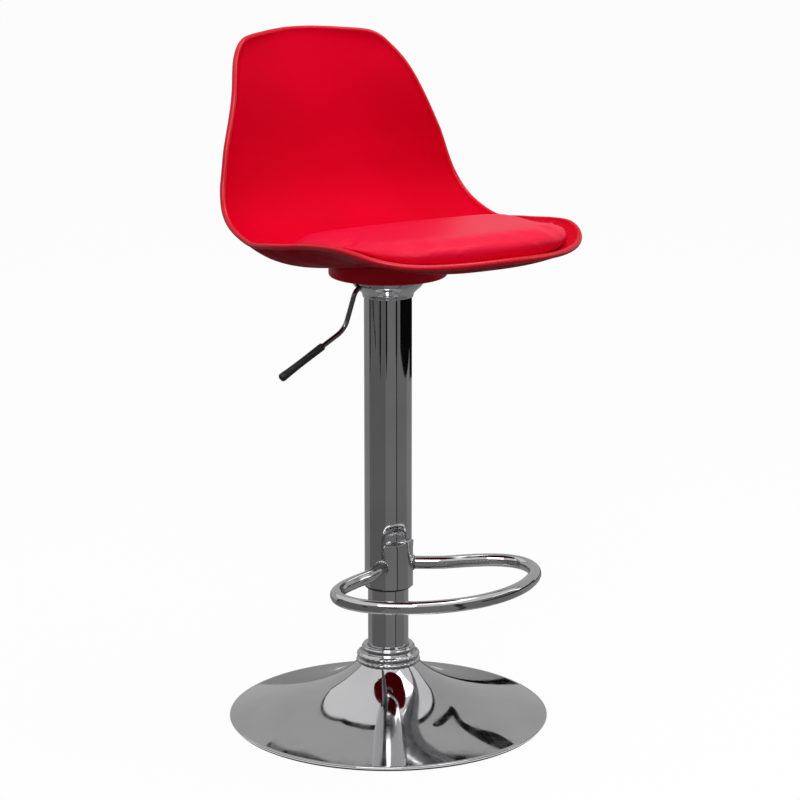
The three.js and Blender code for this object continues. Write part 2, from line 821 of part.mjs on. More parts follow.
function shellPole(depth) {
  return [shellPoint(shellPoleShare, 0).addScaledVector(shellNormal(shellPoleShare, 0), -depth)];
}

function shellBody() {
  const inwards = [...shellUnderShares].reverse();
  return skin([
    shellPole(0),
    ...shellRingShares.map((share) => shellRow(share, 0)),
    ...beadAngleShares.map((share) => beadRow(share * Math.PI)),
    ...inwards.map((share) => shellRow(share, shellThickness)),
    shellPole(shellThickness),
  ], true);
}

// The space above the shell's middle, starting a depth below its upper face.
function aboveShell(depth) {
  const near = shellUnderShares.slice(0, trimRings);
  return skin([
    shellPole(-backHeight / 4),
    ...near.map((share) => shellRow(share, -backHeight / 4)),
    ...near.reverse().map((share) => shellRow(share, depth)),
    shellPole(depth),
  ], true);
}

// The moulded bucket with a boss for each threaded insert.
function seatShell() {
  const middle = aboveShell(shellThickness / 2);
  const columns = atSeatBolts(() => (
    sleeve(0, bossRadius, plateTop, shellFloor + backHeight / 8, smallSides)
  ));
  const bosses = columns.map((boss) => cut(boss, middle));
  const holes = atSeatBolts(() => (
    sleeve(0, insertRadius + seatGap, plateTop - cutOverrun, plateTop + insertLength + seatGap, smallSides)
  ));
  return cut(join(shellBody(), ...bosses), ...holes);
}

function seatInsert() {
  return sleeve(seatBoltRadius + seatGap, insertRadius, plateTop, plateTop + insertLength, smallSides);
}

function seatBolt() {
  const seat = bracketUnderside - seatWasherThickness;
  return hexBolt(seatBoltRadius, seatBoltHeadRadius, seatBoltHead, seat, seat + seatBoltLength);
}

function seatWasher() {
  const low = bracketUnderside - seatWasherThickness;
  return sleeve(seatBoltRadius + seatGap, seatWasherRadius, low, bracketUnderside, smallSides);
}

// The round cover under the seat, trimmed to the shell's underside.
function seatDisc() {
  const wallTop = shellFloor + discRadius / 2;
  const floorTop = discBottom + discFloor;
  const pan = turned([
    [discHole, discBottom],
    [discRadius - discCorner, discBottom],
    [discRadius - discCorner / 3, discBottom + discCorner / 3],
    [discRadius, discBottom + discCorner],
    [discRadius, wallTop],
    [discRadius - discWall, wallTop],
    [discRadius - discWall, floorTop],
    [discHole, floorTop],
  ], tubeSides);
  return cut(pan, aboveShell(shellThickness + seatGap));
}

// Seat pad

// The pad's outline: the shell's own outline drawn in, with a rounded end at the rear.
function padOutline(angle) {
  const folded = angle <= Math.PI ? angle : 2 * Math.PI - angle;
  const share = padRearShare + (padFrontShare - padRearShare) * (1 - Math.cos(folded)) / 2;
  const shellAngle = Math.acos(1 - 2 * share) / Math.PI;
  const side = Math.max(shellHalfWidth * smooth(outlineRows, shellAngle)[0] - padSideInset, 0);
  const rear = Math.min((share - padRearShare) * developedLength / padRearRound, 1);
  const front = Math.min((padFrontShare - share) * developedLength / padSideInset, 1);
  const width = side * Math.sqrt(1 - (1 - rear) ** 2) * Math.sqrt(1 - (1 - front) ** 2);
  return new THREE.Vector2(share, angle <= Math.PI ? width : -width);
}

// A point of the pad: its reach from the pole and its place between the pad's foot and top.
function padPoint(share, width, reachShare, riseShare) {
  const foot = shellPoint(share, width).addScaledVector(shellNormal(share, width), -cutOverrun);
  const crown = padCrown * (1 - reachShare ** 2);
  const top = shellFloor + padTopHeight * smooth(padRows, share)[0] + crown;
  const thickness = Math.max(top - foot.z, padLeastThickness);
  foot.z += thickness * riseShare;
  return foot;
}

function padRow(reachShare, riseShare) {
  return aroundSeat(padPoleShare, padOutline, reachShare, 0, padAround, (share, width) => (
    padPoint(share, width, reachShare, riseShare)
  ));
}

// The wall below the pad, raised by the gap that the pad keeps from it.
function belowPad() {
  const beadRise = shellBeadRadius - shellThickness / 2;
  const depth = shellThickness + cutOverrun;
  return skin([
    shellPole(-seatGap),
    ...shellRingShares.map((share) => shellRow(share, -seatGap)),
    shellRow(1, -seatGap - beadRise),
    ...[...shellRingShares, 1].reverse().map((share) => shellRow(share, depth)),
    shellPole(depth),
  ], true);
}

// The upholstered pad: its crown, its rounded shoulder and its drawn-in sides.
function seatCushion() {
  const pad = skin([
    [padPoint(padPoleShare, 0, 0, 0)],
    ...padFloorRingShares.map((share) => padRow(share, 0)),
    ...padEdgeShares.map(([reachShare, riseShare]) => padRow(reachShare, riseShare)),
    ...padTopRingShares.map((share) => padRow(share, 1)),
    [padPoint(padPoleShare, 0, 0, 1)],
  ], true);
  return cut(pad, belowPad());
}

// Foot ring

function ringPath() {
  const half = ringPathShares.map(([reachShare, widthShare]) => [reachShare * ringReach, widthShare * ringHalfWidth]);
  const points = [...half, [ringReach, 0], ...[...half].reverse().map(([reach, width]) => [reach, -width])];
  return new THREE.CatmullRomCurve3(points.map(([reach, width]) => new THREE.Vector3(width, -reach, ringHeight)));
}

// The bent tube, its two ends coped to the saddle that they are welded to.
function footRing() {
  const ring = pipe(ringPath(), ringTubeRadius, ringSteps, ringSides);
  const bore = pipe(ringPath(), ringTubeRadius - ringTubeWall, ringSteps, ringBoreSides);
  const low = ringHeight - ringTubeRadius - cutOverrun;
  const high = ringHeight + ringTubeRadius + cutOverrun;
  return cut(ring, bore, sleeve(0, saddleOuter + tightGap, low, high, tubeSides * 2));
}

// Radius and height of the saddle's inner face at an angle from the front and a share of its height.
function saddlePlace(angle, riseShare) {
  const halfWidth = saddleOuter * saddleHalfAngle;
  const past = Math.max(Math.abs(angle) * saddleOuter - (halfWidth - saddleCorner), 0);
  const drop = saddleCorner - Math.sqrt(Math.max(saddleCorner ** 2 - past ** 2, 0));
  const top = saddleHeight - drop;
  const height = riseShare * top;
  const flare = Math.max(1 - (top - height) / saddleFlareHeight, 0);
  return [saddleInner + saddleFlareOut * flare ** 2, tubeBottom + height];
}

// The saddle: a plate curved round the tube's front, with a lip turned out along its top.
function footSaddle() {
  const face = (depth) => saddleRowShares.map((riseShare) => (
    Array.from({ length: saddleColumns + 1 }, (_, i) => {
      const angle = saddleHalfAngle * (2 * i / saddleColumns - 1);
      const [radius, height] = saddlePlace(angle, riseShare);
      return new THREE.Vector3((radius + depth) * Math.sin(angle), -(radius + depth) * Math.cos(angle), height);
    })
  ));
  const inner = face(0);
  const outer = face(saddleThickness);
  const loops = inner.map((row, i) => [...row, ...[...outer[i]].reverse()]);
  const cap = (row) => {
    const count = row.length / 2;
    return Array.from({ length: count }, (_, i) => [row[i], row[2 * count - 1 - i]]);
  };
  return closed(sheetFaces(loops, cap));
}

// The walls through closed loops of points, with the first and last loop capped by strips.
function sheetFaces(loops, cap) {
  const corners = [];
  const quad = (a, b, c, d) => corners.push(a, b, c, a, c, d);
  for (let r = 0; r + 1 < loops.length; r += 1) {
    loops[r].forEach((point, i) => {
      const next = (i + 1) % loops[r].length;
      quad(point, loops[r][next], loops[r + 1][next], loops[r + 1][i]);
    });
  }
  const bottom = cap(loops[0]);
  const top = cap(loops[loops.length - 1]);
  for (let i = 0; i + 1 < bottom.length; i += 1) {
    quad(bottom[i][0], bottom[i][1], bottom[i + 1][1], bottom[i + 1][0]);
    quad(top[i][0], top[i + 1][0], top[i + 1][1], top[i][1]);
  }
  return new THREE.BufferGeometry().setFromPoints(corners);
}

// The stool, from the floor up

place("floor_ring", floorRing(), blackRubber());
place("base_cover", baseCover(), chrome());
const plateRadius = baseRadius - bottomPlateInset;
place("bottom_plate", drilledDisc(plateRadius, plateUnderside, ballastBottom), zincSteel());
const ballastRadius = baseRadius - ballastInset;
place("ballast_disc", drilledDisc(ballastRadius, ballastBottom, columnBottom), castIron());
place("hub_cap", hubCap(), blackPlastic());
for (let index = 0; index < baseBoltCount; index += 1) {
  place(`base_bolt_${index + 1}`, baseBolt().translate(...boltPlace(index), 0), zincSteel());
}
place("base_collar", baseCollar(), chrome());
place("lower_column", lowerColumn(), chrome());
place("column_bush", columnBush(), greyPlastic());

const washer = (low) => sleeve(rodRadius + seatGap, washerRadius, low, low + washerThickness, coreSides);
place("bearing_washer_lower", washer(bearingBottom), zincSteel());
place("bearing_race", bearingRace(), zincSteel());
place("bearing_washer_upper", washer(upperWasherBottom), zincSteel());
place("rod_washer", washer(columnFloor - washerThickness), zincSteel());
place("rod_clip", rodClip(), zincSteel());
place("piston_rod", pistonRod(), zincSteel());
place("piston", piston(), blackPlastic());
const bumperBottom = shoulderBottom + shoulderThickness + tightGap;
place(
  "rod_bumper",
  sleeve(rodRadius + seatGap, bumperRadius, bumperBottom, bumperBottom + bumperHeight, coreSides),
  blackRubber(),
);
place("gas_cylinder", gasCylinder(), castIron());
place("valve_pin", valvePin(), zincSteel());

place("cover_tube", sleeve(tubeBore, tubeRadius, tubeBottom, tubeTop, tubeSides), chrome());
place("tube_guide", tubeGuide(), blackPlastic());
const spacerBottom = socketBottom + spacerRise;
place(
  "tube_spacer",
  sleeve(socketRadius + seatGap, tubeBore - seatGap, spacerBottom, spacerBottom + spacerHeight, tubeSides),
  greyPlastic(),
);
place("top_cup", topCup(), chrome());
place("foot_saddle", footSaddle(), chrome());
place("foot_ring", footRing(), chrome());

place("seat_bracket", seatBracket(), zincSteel());
place("lever_pin", leverPin(), zincSteel());
place("lever_rod", leverRod(), chrome());
place("lever_grip", leverGrip(), blackPlastic());
place("seat_disc", seatDisc(), redCover());
atSeatBolts(seatBolt).forEach((bolt, i) => place(`seat_bolt_${i + 1}`, bolt, zincSteel()));
atSeatBolts(seatWasher).forEach((ring, i) => place(`seat_washer_${i + 1}`, ring, zincSteel()));
atSeatBolts(seatInsert).forEach((insert, i) => place(`seat_insert_${i + 1}`, insert, brass()));
place("seat_shell", seatShell(), redShell());
place("seat_cushion", seatCushion(), redLeatherette());

export default group;
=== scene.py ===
"""Dresses a diner counter stool: bucket seat and pad, chrome column, foot ring and trumpet base.

Sizes are in millimetres, but those of the finishes, the stuffing and the studio are in metres. The
origin is on the column's axis at the floor, +Z is up, the sitter faces -Y and the height lever is on
-X.
"""

import logging
import math
from dataclasses import asdict, dataclass, field
from enum import Enum
from typing import Any, Callable, Dict, Optional, Sequence, Tuple

import bmesh
import bpy
import numpy as np
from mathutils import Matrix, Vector


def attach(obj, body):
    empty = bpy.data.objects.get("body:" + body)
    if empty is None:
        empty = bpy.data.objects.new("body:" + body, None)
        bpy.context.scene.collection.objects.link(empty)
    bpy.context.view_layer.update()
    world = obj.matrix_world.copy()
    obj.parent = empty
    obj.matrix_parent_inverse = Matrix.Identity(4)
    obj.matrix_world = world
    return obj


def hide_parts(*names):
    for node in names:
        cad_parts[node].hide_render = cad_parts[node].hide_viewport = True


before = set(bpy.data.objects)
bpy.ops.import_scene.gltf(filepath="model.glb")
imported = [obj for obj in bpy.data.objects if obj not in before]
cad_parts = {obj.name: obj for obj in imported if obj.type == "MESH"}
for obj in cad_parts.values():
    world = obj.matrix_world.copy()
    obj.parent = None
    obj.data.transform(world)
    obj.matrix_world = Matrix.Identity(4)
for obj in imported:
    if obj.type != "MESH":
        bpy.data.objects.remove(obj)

log = logging.getLogger("counter_stool")
logging.basicConfig(level=logging.INFO, format="%(message)s")

Array = np.ndarray
Piece = bpy.types.Object
Material = bpy.types.Material
Pair = Tuple[float, float]
Triple = Tuple[float, float, float]
Span = Tuple[float, float, int]

# A millimetre, and the lengths under which points and edges are merged, in metres
MM = 0.001
MERGE_DISTANCE = 2e-6
SLIVER_LENGTH = 1e-6

# The range that most of a noise's values lie in
MIDDLE: Pair = (0.3, 0.7)

UP = np.array([0.0, 0.0, 1.0])


class Body(Enum):
    """The bodies that the scene's own pieces ride on, by their names in the frame."""

    BASE = "base"
    SEAT = "seat"
    LEVER = "lever"


# Shader maths


class Sock:
    """A node socket that sums and products work on."""

    def __init__(self, maker: "Shader", link: Any) -> None:
        """Keeps the socket and the shader that new nodes go into."""
        self.maker = maker
        self.link = link

    def _math(self, operation: str, other: Any) -> "Sock":
        """Adds a Math node on this socket and another socket or number."""
        return self.maker.node("ShaderNodeMath", {"operation": operation}, {0: self, 1: other})

    def __add__(self, other: Any) -> "Sock":
        """Sum."""
        return self._math("ADD", other)

    def __mul__(self, other: Any) -> "Sock":
        """Product."""
        return self._math("MULTIPLY", other)

    __radd__ = __add__
    __rmul__ = __mul__

    def smooth(self, low: float, high: float, start: float = 0.0, end: float = 1.0) -> "Sock":
        """Eases from start to end as this value goes from low to high.

        Args:
            low: the value at the start.
            high: the value at the end.
            start: what comes out at low and below.
            end: what comes out at high and above.

        Returns:
            The eased value.
        """
        settings = {"interpolation_type": "SMOOTHSTEP"}
        values = {"Value": self, "From Min": low, "From Max": high, "To Min": start, "To Max": end}
        return self.maker.node("ShaderNodeMapRange", settings, values)


class Shader:
    """One procedural material, or the world, and its nodes."""

    def __init__(self, name: str, world: bool = False) -> None:
        """Starts an empty material, or a world, with its output."""
        self.owner = (bpy.data.worlds if world else bpy.data.materials).new(name)
        self.owner.use_nodes = True
        self.tree = self.owner.node_tree
        self.tree.nodes.clear()
        self.output = self.tree.nodes.new(f"ShaderNodeOutput{'World' if world else 'Material'}")

    def node(
        self,
        kind: str,
        settings: Optional[Dict[str, Any]] = None,
        inputs: Optional[Dict[Any, Any]] = None,
        out: Any = 0,
    ) -> Sock:
        """Adds any node: its settings first, then the values or links of its sockets.

        Args:
            kind: the node's type.
            settings: its attributes, such as an operation.
            inputs: socket name or index to a value or a Sock.
            out: the output that is handed back.

        Returns:
            The chosen output.
        """
        made = self.tree.nodes.new(kind)
        for key, value in (settings or {}).items():
            setattr(made, key, value)
        for key, value in (inputs or {}).items():
            if isinstance(value, Sock):
                self.tree.links.new(value.link, made.inputs[key])
            else:
                made.inputs[key].default_value = value
        return Sock(self, made.outputs[out])

    def coordinate(self, scale: Sequence[float] = (1.0, 1.0, 1.0)) -> Sock:
        """Object coordinates, scaled along each axis."""
        place = self.node("ShaderNodeTexCoord", out="Object")
        return self.node("ShaderNodeMapping", {}, {"Vector": place, "Scale": scale})

    def noise(self, scale: float, detail: float = 2.0, stretch: Sequence[float] = (1, 1, 1)) -> Sock:
        """Smooth noise over the piece, from 0 to 1."""
        values = {"Vector": self.coordinate(stretch), "Scale": scale, "Detail": detail}
        return self.node("ShaderNodeTexNoise", {}, values, "Fac")

    def cells(self, scale: float) -> Sock:
        """Softened distance to the nearest cell point, for a pebbled grain."""
        values = {"Vector": self.coordinate(), "Scale": scale}
        return self.node("ShaderNodeTexVoronoi", {"feature": "SMOOTH_F1"}, values, "Distance")

    def blend(self, factor: Any, first: Sequence[float], second: Sequence[float]) -> Sock:
        """Mixes two colours by a factor. The Mix node's colour sockets are 6, 7 and, going out, 2."""
        values = {0: factor, 6: (*first, 1.0), 7: (*second, 1.0)}
        return self.node("ShaderNodeMix", {"data_type": "RGBA"}, values, 2)

    def bump(self, height: Sock, distance: float, strength: float) -> Sock:
        """Turns a height of about 0 to 1 into a bumped normal.

        Args:
            height: the height.
            distance: the height's real size in metres.
            strength: the share of the effect.

        Returns:
            The normal.
        """
        values = {"Height": height, "Distance": distance, "Strength": strength}
        return self.node("ShaderNodeBump", {}, values)

    def light(self, kind: str, grey: float) -> Sock:
        """An even light of one grey: an Emission or a Background node."""
        return self.node(kind, {}, {"Color": (grey, grey, grey, 1.0), "Strength": 1.0})

    def plainly_seen(self) -> Sock:
        """One for what the camera or the gloss looks at, and zero for what only lights the piece."""
        seen = self.node("ShaderNodeLightPath", out="Is Camera Ray")
        return seen + self.node("ShaderNodeLightPath", out="Is Glossy Ray")

    def finish(self, surface: Sock) -> Any:
        """Links a surface to the output and hands the material or world back."""
        self.tree.links.new(surface.link, self.output.inputs["Surface"])
        return self.owner

    def surface(self, values: Dict[str, Any]) -> Material:
        """Finishes the material with the standard surface shader and these socket values."""
        return self.finish(self.node("ShaderNodeBsdfPrincipled", {}, values))


# Finishes


@dataclass(frozen=True)
class Chrome:
    """Bright chrome plate with faint wipe marks and dust."""

    name: str = "polished_chrome"
    tint: Triple = (0.56, 0.555, 0.565)
    haze: Triple = (0.49, 0.49, 0.50)
    gloss: Pair = (0.035, 0.075)
    drift_scale: float = 9.0
    wipe_scale: float = 60.0
    wipe_stretch: Triple = (1.0, 1.0, 0.12)

    def make(self) -> Material:
        """Builds the plate: a mirror whose colour and roughness drift a little."""
        shader = Shader(self.name)
        drift = shader.noise(self.drift_scale, 3.0)
        wipe = shader.noise(self.wipe_scale, 4.0, self.wipe_stretch)
        return shader.surface(
            {
                "Base Color": shader.blend(drift.smooth(0.35, 0.75), self.tint, self.haze),
                "Metallic": 1.0,
                "Roughness": wipe.smooth(0.35, 0.7, *self.gloss),
            }
        )


@dataclass(frozen=True)
class MouldedPlastic:
    """Matte moulded plastic with a fine grain, and a smoother edge where the mask says."""

    name: str
    colour: Triple
    shade: Triple
    gloss: Pair = (0.38, 0.5)
    drift_scale: float = 5.0
    patch_scale: float = 35.0
    grain_scale: float = 2600.0
    grain_height: float = 0.00004
    specular: float = 0.4
    ior: float = 1.5
    edge_gloss: float = 0.0
    edge_roughness: float = 0.25

    def make(self) -> Material:
        """Builds the plastic: a slow colour drift, a fine grain, a patchy sheen and a glossy edge."""
        shader = Shader(self.name)
        drift = shader.noise(self.drift_scale)
        patch = shader.noise(self.patch_scale, 3.0)
        grain = shader.noise(self.grain_scale)
        edge = shader.node("ShaderNodeAttribute", {"attribute_name": "mask"}, {}, "Fac")
        return shader.surface(
            {
                "Base Color": shader.blend(drift.smooth(*MIDDLE), self.colour, self.shade),
                "Roughness": patch.smooth(*MIDDLE, *self.gloss),
                "Specular IOR Level": self.specular,
                "IOR": self.ior,
                "Coat Weight": edge * self.edge_gloss,
                "Coat Roughness": self.edge_roughness,
                "Normal": shader.bump(grain, self.grain_height, 0.6),
            }
        )


@dataclass(frozen=True)
class Leatherette:
    """Soft coated upholstery with a pebbled grain."""

    name: str = "red_leatherette"
    colour: Triple = (0.86, 0.003, 0.042)
    # The darker red of the painted shade in the pebbles' valleys.
    valley: Triple = (0.64, 0.002, 0.03)
    gloss: Pair = (0.34, 0.46)
    specular: float = 0.1
    pebble_scale: float = 620.0
    pebble_height: float = 0.00016
    fine_scale: float = 1800.0
    fine_share: float = 0.25
    crease_scale: float = 28.0
    crease_share: float = 0.8

    def make(self) -> Material:
        """Builds the upholstery: pebbles with painted shade in their valleys, and long soft creases."""
        shader = Shader(self.name)
        pebble = shader.cells(self.pebble_scale)
        fine = shader.noise(self.fine_scale, 3.0)
        crease = shader.noise(self.crease_scale, 4.0)
        height = pebble.smooth(0.15, 0.75, 1.0, 0.0) + fine * self.fine_share + crease * self.crease_share
        # Painted shade: the colour darkens towards the valleys of the pebbled bump.
        valley = pebble.smooth(0.45, 0.95, 0.0, 0.55)
        return shader.surface(
            {
                "Base Color": shader.blend(valley, self.colour, self.valley),
                "Roughness": fine.smooth(*MIDDLE, *self.gloss),
                "Specular IOR Level": self.specular,
                "Normal": shader.bump(height, self.pebble_height, 0.5),
            }
        )


@dataclass(frozen=True)
class RoughMetal:
    """A plain metal with brushing, casting pits or plating blotches."""

    name: str
    colour: Triple
    shade: Triple
    gloss: Pair
    metallic: float = 1.0
    blotch_scale: float = 40.0
    grain_scale: float = 400.0
    grain_height: float = 0.00003
    stretch: Triple = (1.0, 1.0, 0.2)

    def make(self) -> Material:
        """Builds the metal: blotches in colour, and a grain in roughness and height."""
        shader = Shader(self.name)
        blotch = shader.noise(self.blotch_scale, 3.0)
        grain = shader.noise(self.grain_scale, 4.0, self.stretch)
        return shader.surface(
            {
                "Base Color": shader.blend(blotch.smooth(*MIDDLE), self.colour, self.shade),
                "Metallic": self.metallic,
                "Roughness": grain.smooth(*MIDDLE, *self.gloss),
                "Normal": shader.bump(grain, self.grain_height, 0.5),
            }
        )


# Meshes from arrays


def smooth_rows(rows: Array, station: Array) -> Array:
    """A smooth curve through rows of [station, value, ...].

    Between two rows it is the cubic that meets both values, with slopes taken across each row's
    neighbours.

    Args:
        rows: the table, n by 1 + k.
        station: where to read it, any shape.

    Returns:
        The k values, with k as the last axis.
    """
    places, values = rows[:, 0], rows[:, 1:]
    x = np.clip(station, places[0], places[-1])
    last = len(places) - 1
    index = np.clip(np.searchsorted(places, x, side="left") - 1, 0, last - 1)
    before = np.maximum(np.arange(last + 1) - 1, 0)
    after = np.minimum(np.arange(last + 1) + 1, last)
    slopes = (values[after] - values[before]) / (places[after] - places[before])[:, None]
    span = (places[index + 1] - places[index])[..., None]
    t = (x - places[index])[..., None] / span
    rise = values[index + 1] - values[index]
    bend = t * (1 - t) * span * (slopes[index] * (1 - t) - slopes[index + 1] * t)
    return values[index] + rise * t * t * (3 - 2 * t) + bend


def arc_points(centre: Sequence[float], radius: float, start: float, end: float, steps: int) -> Array:
    """Points on a circular arc in the profile plane, angles in degrees."""
    angle = np.radians(np.linspace(start, end, steps))
    return np.stack([centre[0] + radius * np.cos(angle), centre[1] + radius * np.sin(angle)], 1)


def put(name: str, data: Any) -> Piece:
    """Puts a mesh, a camera or a lamp into the scene as an object."""
    made = bpy.data.objects.new(name, data)
    bpy.context.scene.collection.objects.link(made)
    return made


def make_mesh(name: str, points: Array, quads: Array, mask: Optional[Array] = None) -> Piece:
    """A smooth-shaded object from points and quads, merged, closed up and facing outwards.

    Args:
        name: the piece's name.
        points: n by 3.
        quads: m by 4 indices.
        mask: a number for each point, kept as the attribute "mask".

    Returns:
        The new object, at the origin.
    """
    mesh = bpy.data.meshes.new(name)
    mesh.from_pydata(points.tolist(), [], quads.tolist())
    if mask is not None:
        mesh.attributes.new("mask", "FLOAT", "POINT").data.foreach_set("value", mask)
    work = bmesh.new()
    work.from_mesh(mesh)
    bmesh.ops.remove_doubles(work, verts=work.verts, dist=MERGE_DISTANCE)
    bmesh.ops.dissolve_degenerate(work, edges=work.edges, dist=SLIVER_LENGTH)
    bmesh.ops.recalc_face_normals(work, faces=work.faces)
    work.to_mesh(mesh)
    work.free()
    mesh.shade_smooth()
    return put(name, mesh)


def grid_piece(
    name: str,
    grid: Array,
    wrap_rows: bool = False,
    wrap_columns: bool = True,
    mask: Optional[Array] = None,
) -> Piece:
    """A piece whose points are a grid of rows and columns.

    Args:
        name: the piece's name.
        grid: rows by columns by 3.
        wrap_rows: joins the last row to the first.
        wrap_columns: joins the last column to the first.
        mask: a number for each row, kept as the attribute "mask".

    Returns:
        The new object.
    """
    rows, columns = grid.shape[:2]
    row = np.arange(rows if wrap_rows else rows - 1)[:, None]
    column = np.arange(columns if wrap_columns else columns - 1)[None, :]
    next_row, next_column = (row + 1) % rows, (column + 1) % columns
    corners = ((row, column), (row, next_column), (next_row, next_column), (next_row, column))
    quads = np.stack([line * columns + place for line, place in corners], -1).reshape(-1, 4)
    values = None if mask is None else np.repeat(mask, columns).astype(np.float32)
    return make_mesh(name, grid.reshape(-1, 3), quads, values)


def turned_piece(
    name: str,
    profile: Array,
    sides: int = 192,
    radius_shift: Optional[Callable[[Array, Array], Array]] = None,
) -> Piece:
    """A closed profile of [radius, height] in mm, turned about the column's axis.

    Args:
        name: the piece's name.
        profile: n by 2, going round the section once.
        sides: the number of columns.
        radius_shift: a function of the profile's heights and the angles that adds to the radius.

    Returns:
        The new object.
    """
    angle = np.linspace(0, 2 * np.pi, sides, endpoint=False)
    radius = np.repeat(profile[:, :1], sides, 1)
    height = np.repeat(profile[:, 1:], sides, 1)
    if radius_shift is not None:
        radius = radius + radius_shift(height, angle[None, :])
    grid = np.stack([radius * np.cos(angle), radius * np.sin(angle), height], -1) * MM
    return grid_piece(name, grid, wrap_rows=True)


def swept_tube(name: str, path: Array, radius: Array, sides: int = 40) -> Piece:
    """A round tube along a path with closed rounded ends.

    Each ring lies square to the path. Its frame comes from turning the last one by the least
    angle, so the tube doesn't twist.

    Args:
        name: the piece's name.
        path: n by 3, in mm.
        radius: n radii, in mm.
        sides: points round a ring.

    Returns:
        The new object.
    """
    tangent = np.gradient(path, axis=0)
    tangent /= np.linalg.norm(tangent, axis=1)[:, None]
    first = np.cross(tangent[0], UP)
    normals = [first / np.linalg.norm(first)]
    for step in tangent[1:]:
        turned = normals[-1] - step * np.dot(normals[-1], step)
        normals.append(turned / np.linalg.norm(turned))
    normal = np.array(normals)[:, None]
    binormal = np.cross(tangent, normals)[:, None]
    angle = np.linspace(0, 2 * np.pi, sides, endpoint=False)[None, :, None]
    grid = path[:, None] + (normal * np.cos(angle) + binormal * np.sin(angle)) * radius[:, None, None]
    start, end = (np.repeat(path[index, None], sides, 1) for index in ([0], [-1]))
    return grid_piece(name, np.concatenate([start, grid, end]) * MM)


def spaced_curve(points: Array, count: int, fineness: int = 12) -> Array:
    """A smooth curve through points, read at equal steps of its length.

    The curve is the cubic of smooth_rows over the lengths of the chords.

    Args:
        points: n by 3.
        count: how many points come back.
        fineness: how many places are tried for each of them.

    Returns:
        count by 3.
    """

    def run(line: Array) -> Array:
        """The length along a line up to each of its points."""
        return np.concatenate([[0], np.cumsum(np.linalg.norm(np.diff(line, axis=0), axis=1))])

    chord = run(points)
    dense = smooth_rows(np.column_stack([chord, points]), np.linspace(0, chord[-1], count * fineness))
    length = run(dense)
    station = np.linspace(0, length[-1], count)
    return np.stack([np.interp(station, length, dense[:, axis]) for axis in range(3)], 1)


def modify(piece: Piece, kind: str, **settings: Any) -> bpy.types.Modifier:
    """Gives a piece a modifier of a kind, with these settings."""
    made = piece.modifiers.new(kind.lower(), kind)
    for key, value in settings.items():
        setattr(made, key, value)
    return made


def apply_modifiers(piece: Piece) -> None:
    """Replaces a piece's mesh with what its modifiers make of it."""
    graph = bpy.context.evaluated_depsgraph_get()
    made = bpy.data.meshes.new_from_object(piece.evaluated_get(graph))
    old = piece.data
    piece.modifiers.clear()
    piece.data = made
    bpy.data.meshes.remove(old)
    piece.data.shade_smooth()


def face_outwards(piece: Piece) -> None:
    """Turns a closed piece's faces outwards, judged by the sign of the volume they enclose."""
    work = bmesh.new()
    work.from_mesh(piece.data)
    bmesh.ops.recalc_face_normals(work, faces=work.faces)
    if work.calc_volume(signed=True) < 0:
        bmesh.ops.reverse_faces(work, faces=work.faces)
    work.to_mesh(piece.data)
    work.free()


def joined(first: Piece, second: Piece) -> Piece:
    """Adds the second piece's mesh to the first and removes the second."""
    work = bmesh.new()
    for piece in (first, second):
        work.from_mesh(piece.data)
    work.to_mesh(first.data)
    work.free()
    first.data.shade_smooth()
    bpy.data.objects.remove(second)
    return first


def read_points(mesh: bpy.types.Mesh) -> Array:
    """A mesh's points as an array."""
    points = np.empty(len(mesh.vertices) * 3, np.float32)
    mesh.vertices.foreach_get("co", points)
    return points.reshape(-1, 3).astype(float)


def finish_piece(piece: Piece, body: Body, slot: str, material: Material, *nodes: str) -> None:
    """Dresses a piece, hangs it on its body and lets it stand for its CAD nodes.

    Args:
        piece: the finished object.
        body: the body it moves with.
        slot: not used.
        material: its material.
        *nodes: the CAD nodes that it replaces.
    """
    piece.data.materials.clear()
    piece.data.materials.append(material)
    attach(piece, body.value)
    if nodes:
        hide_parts(*nodes)
    log.info("piece %s: %d faces on %s", piece.name, len(piece.data.polygons), body.value)


# The base


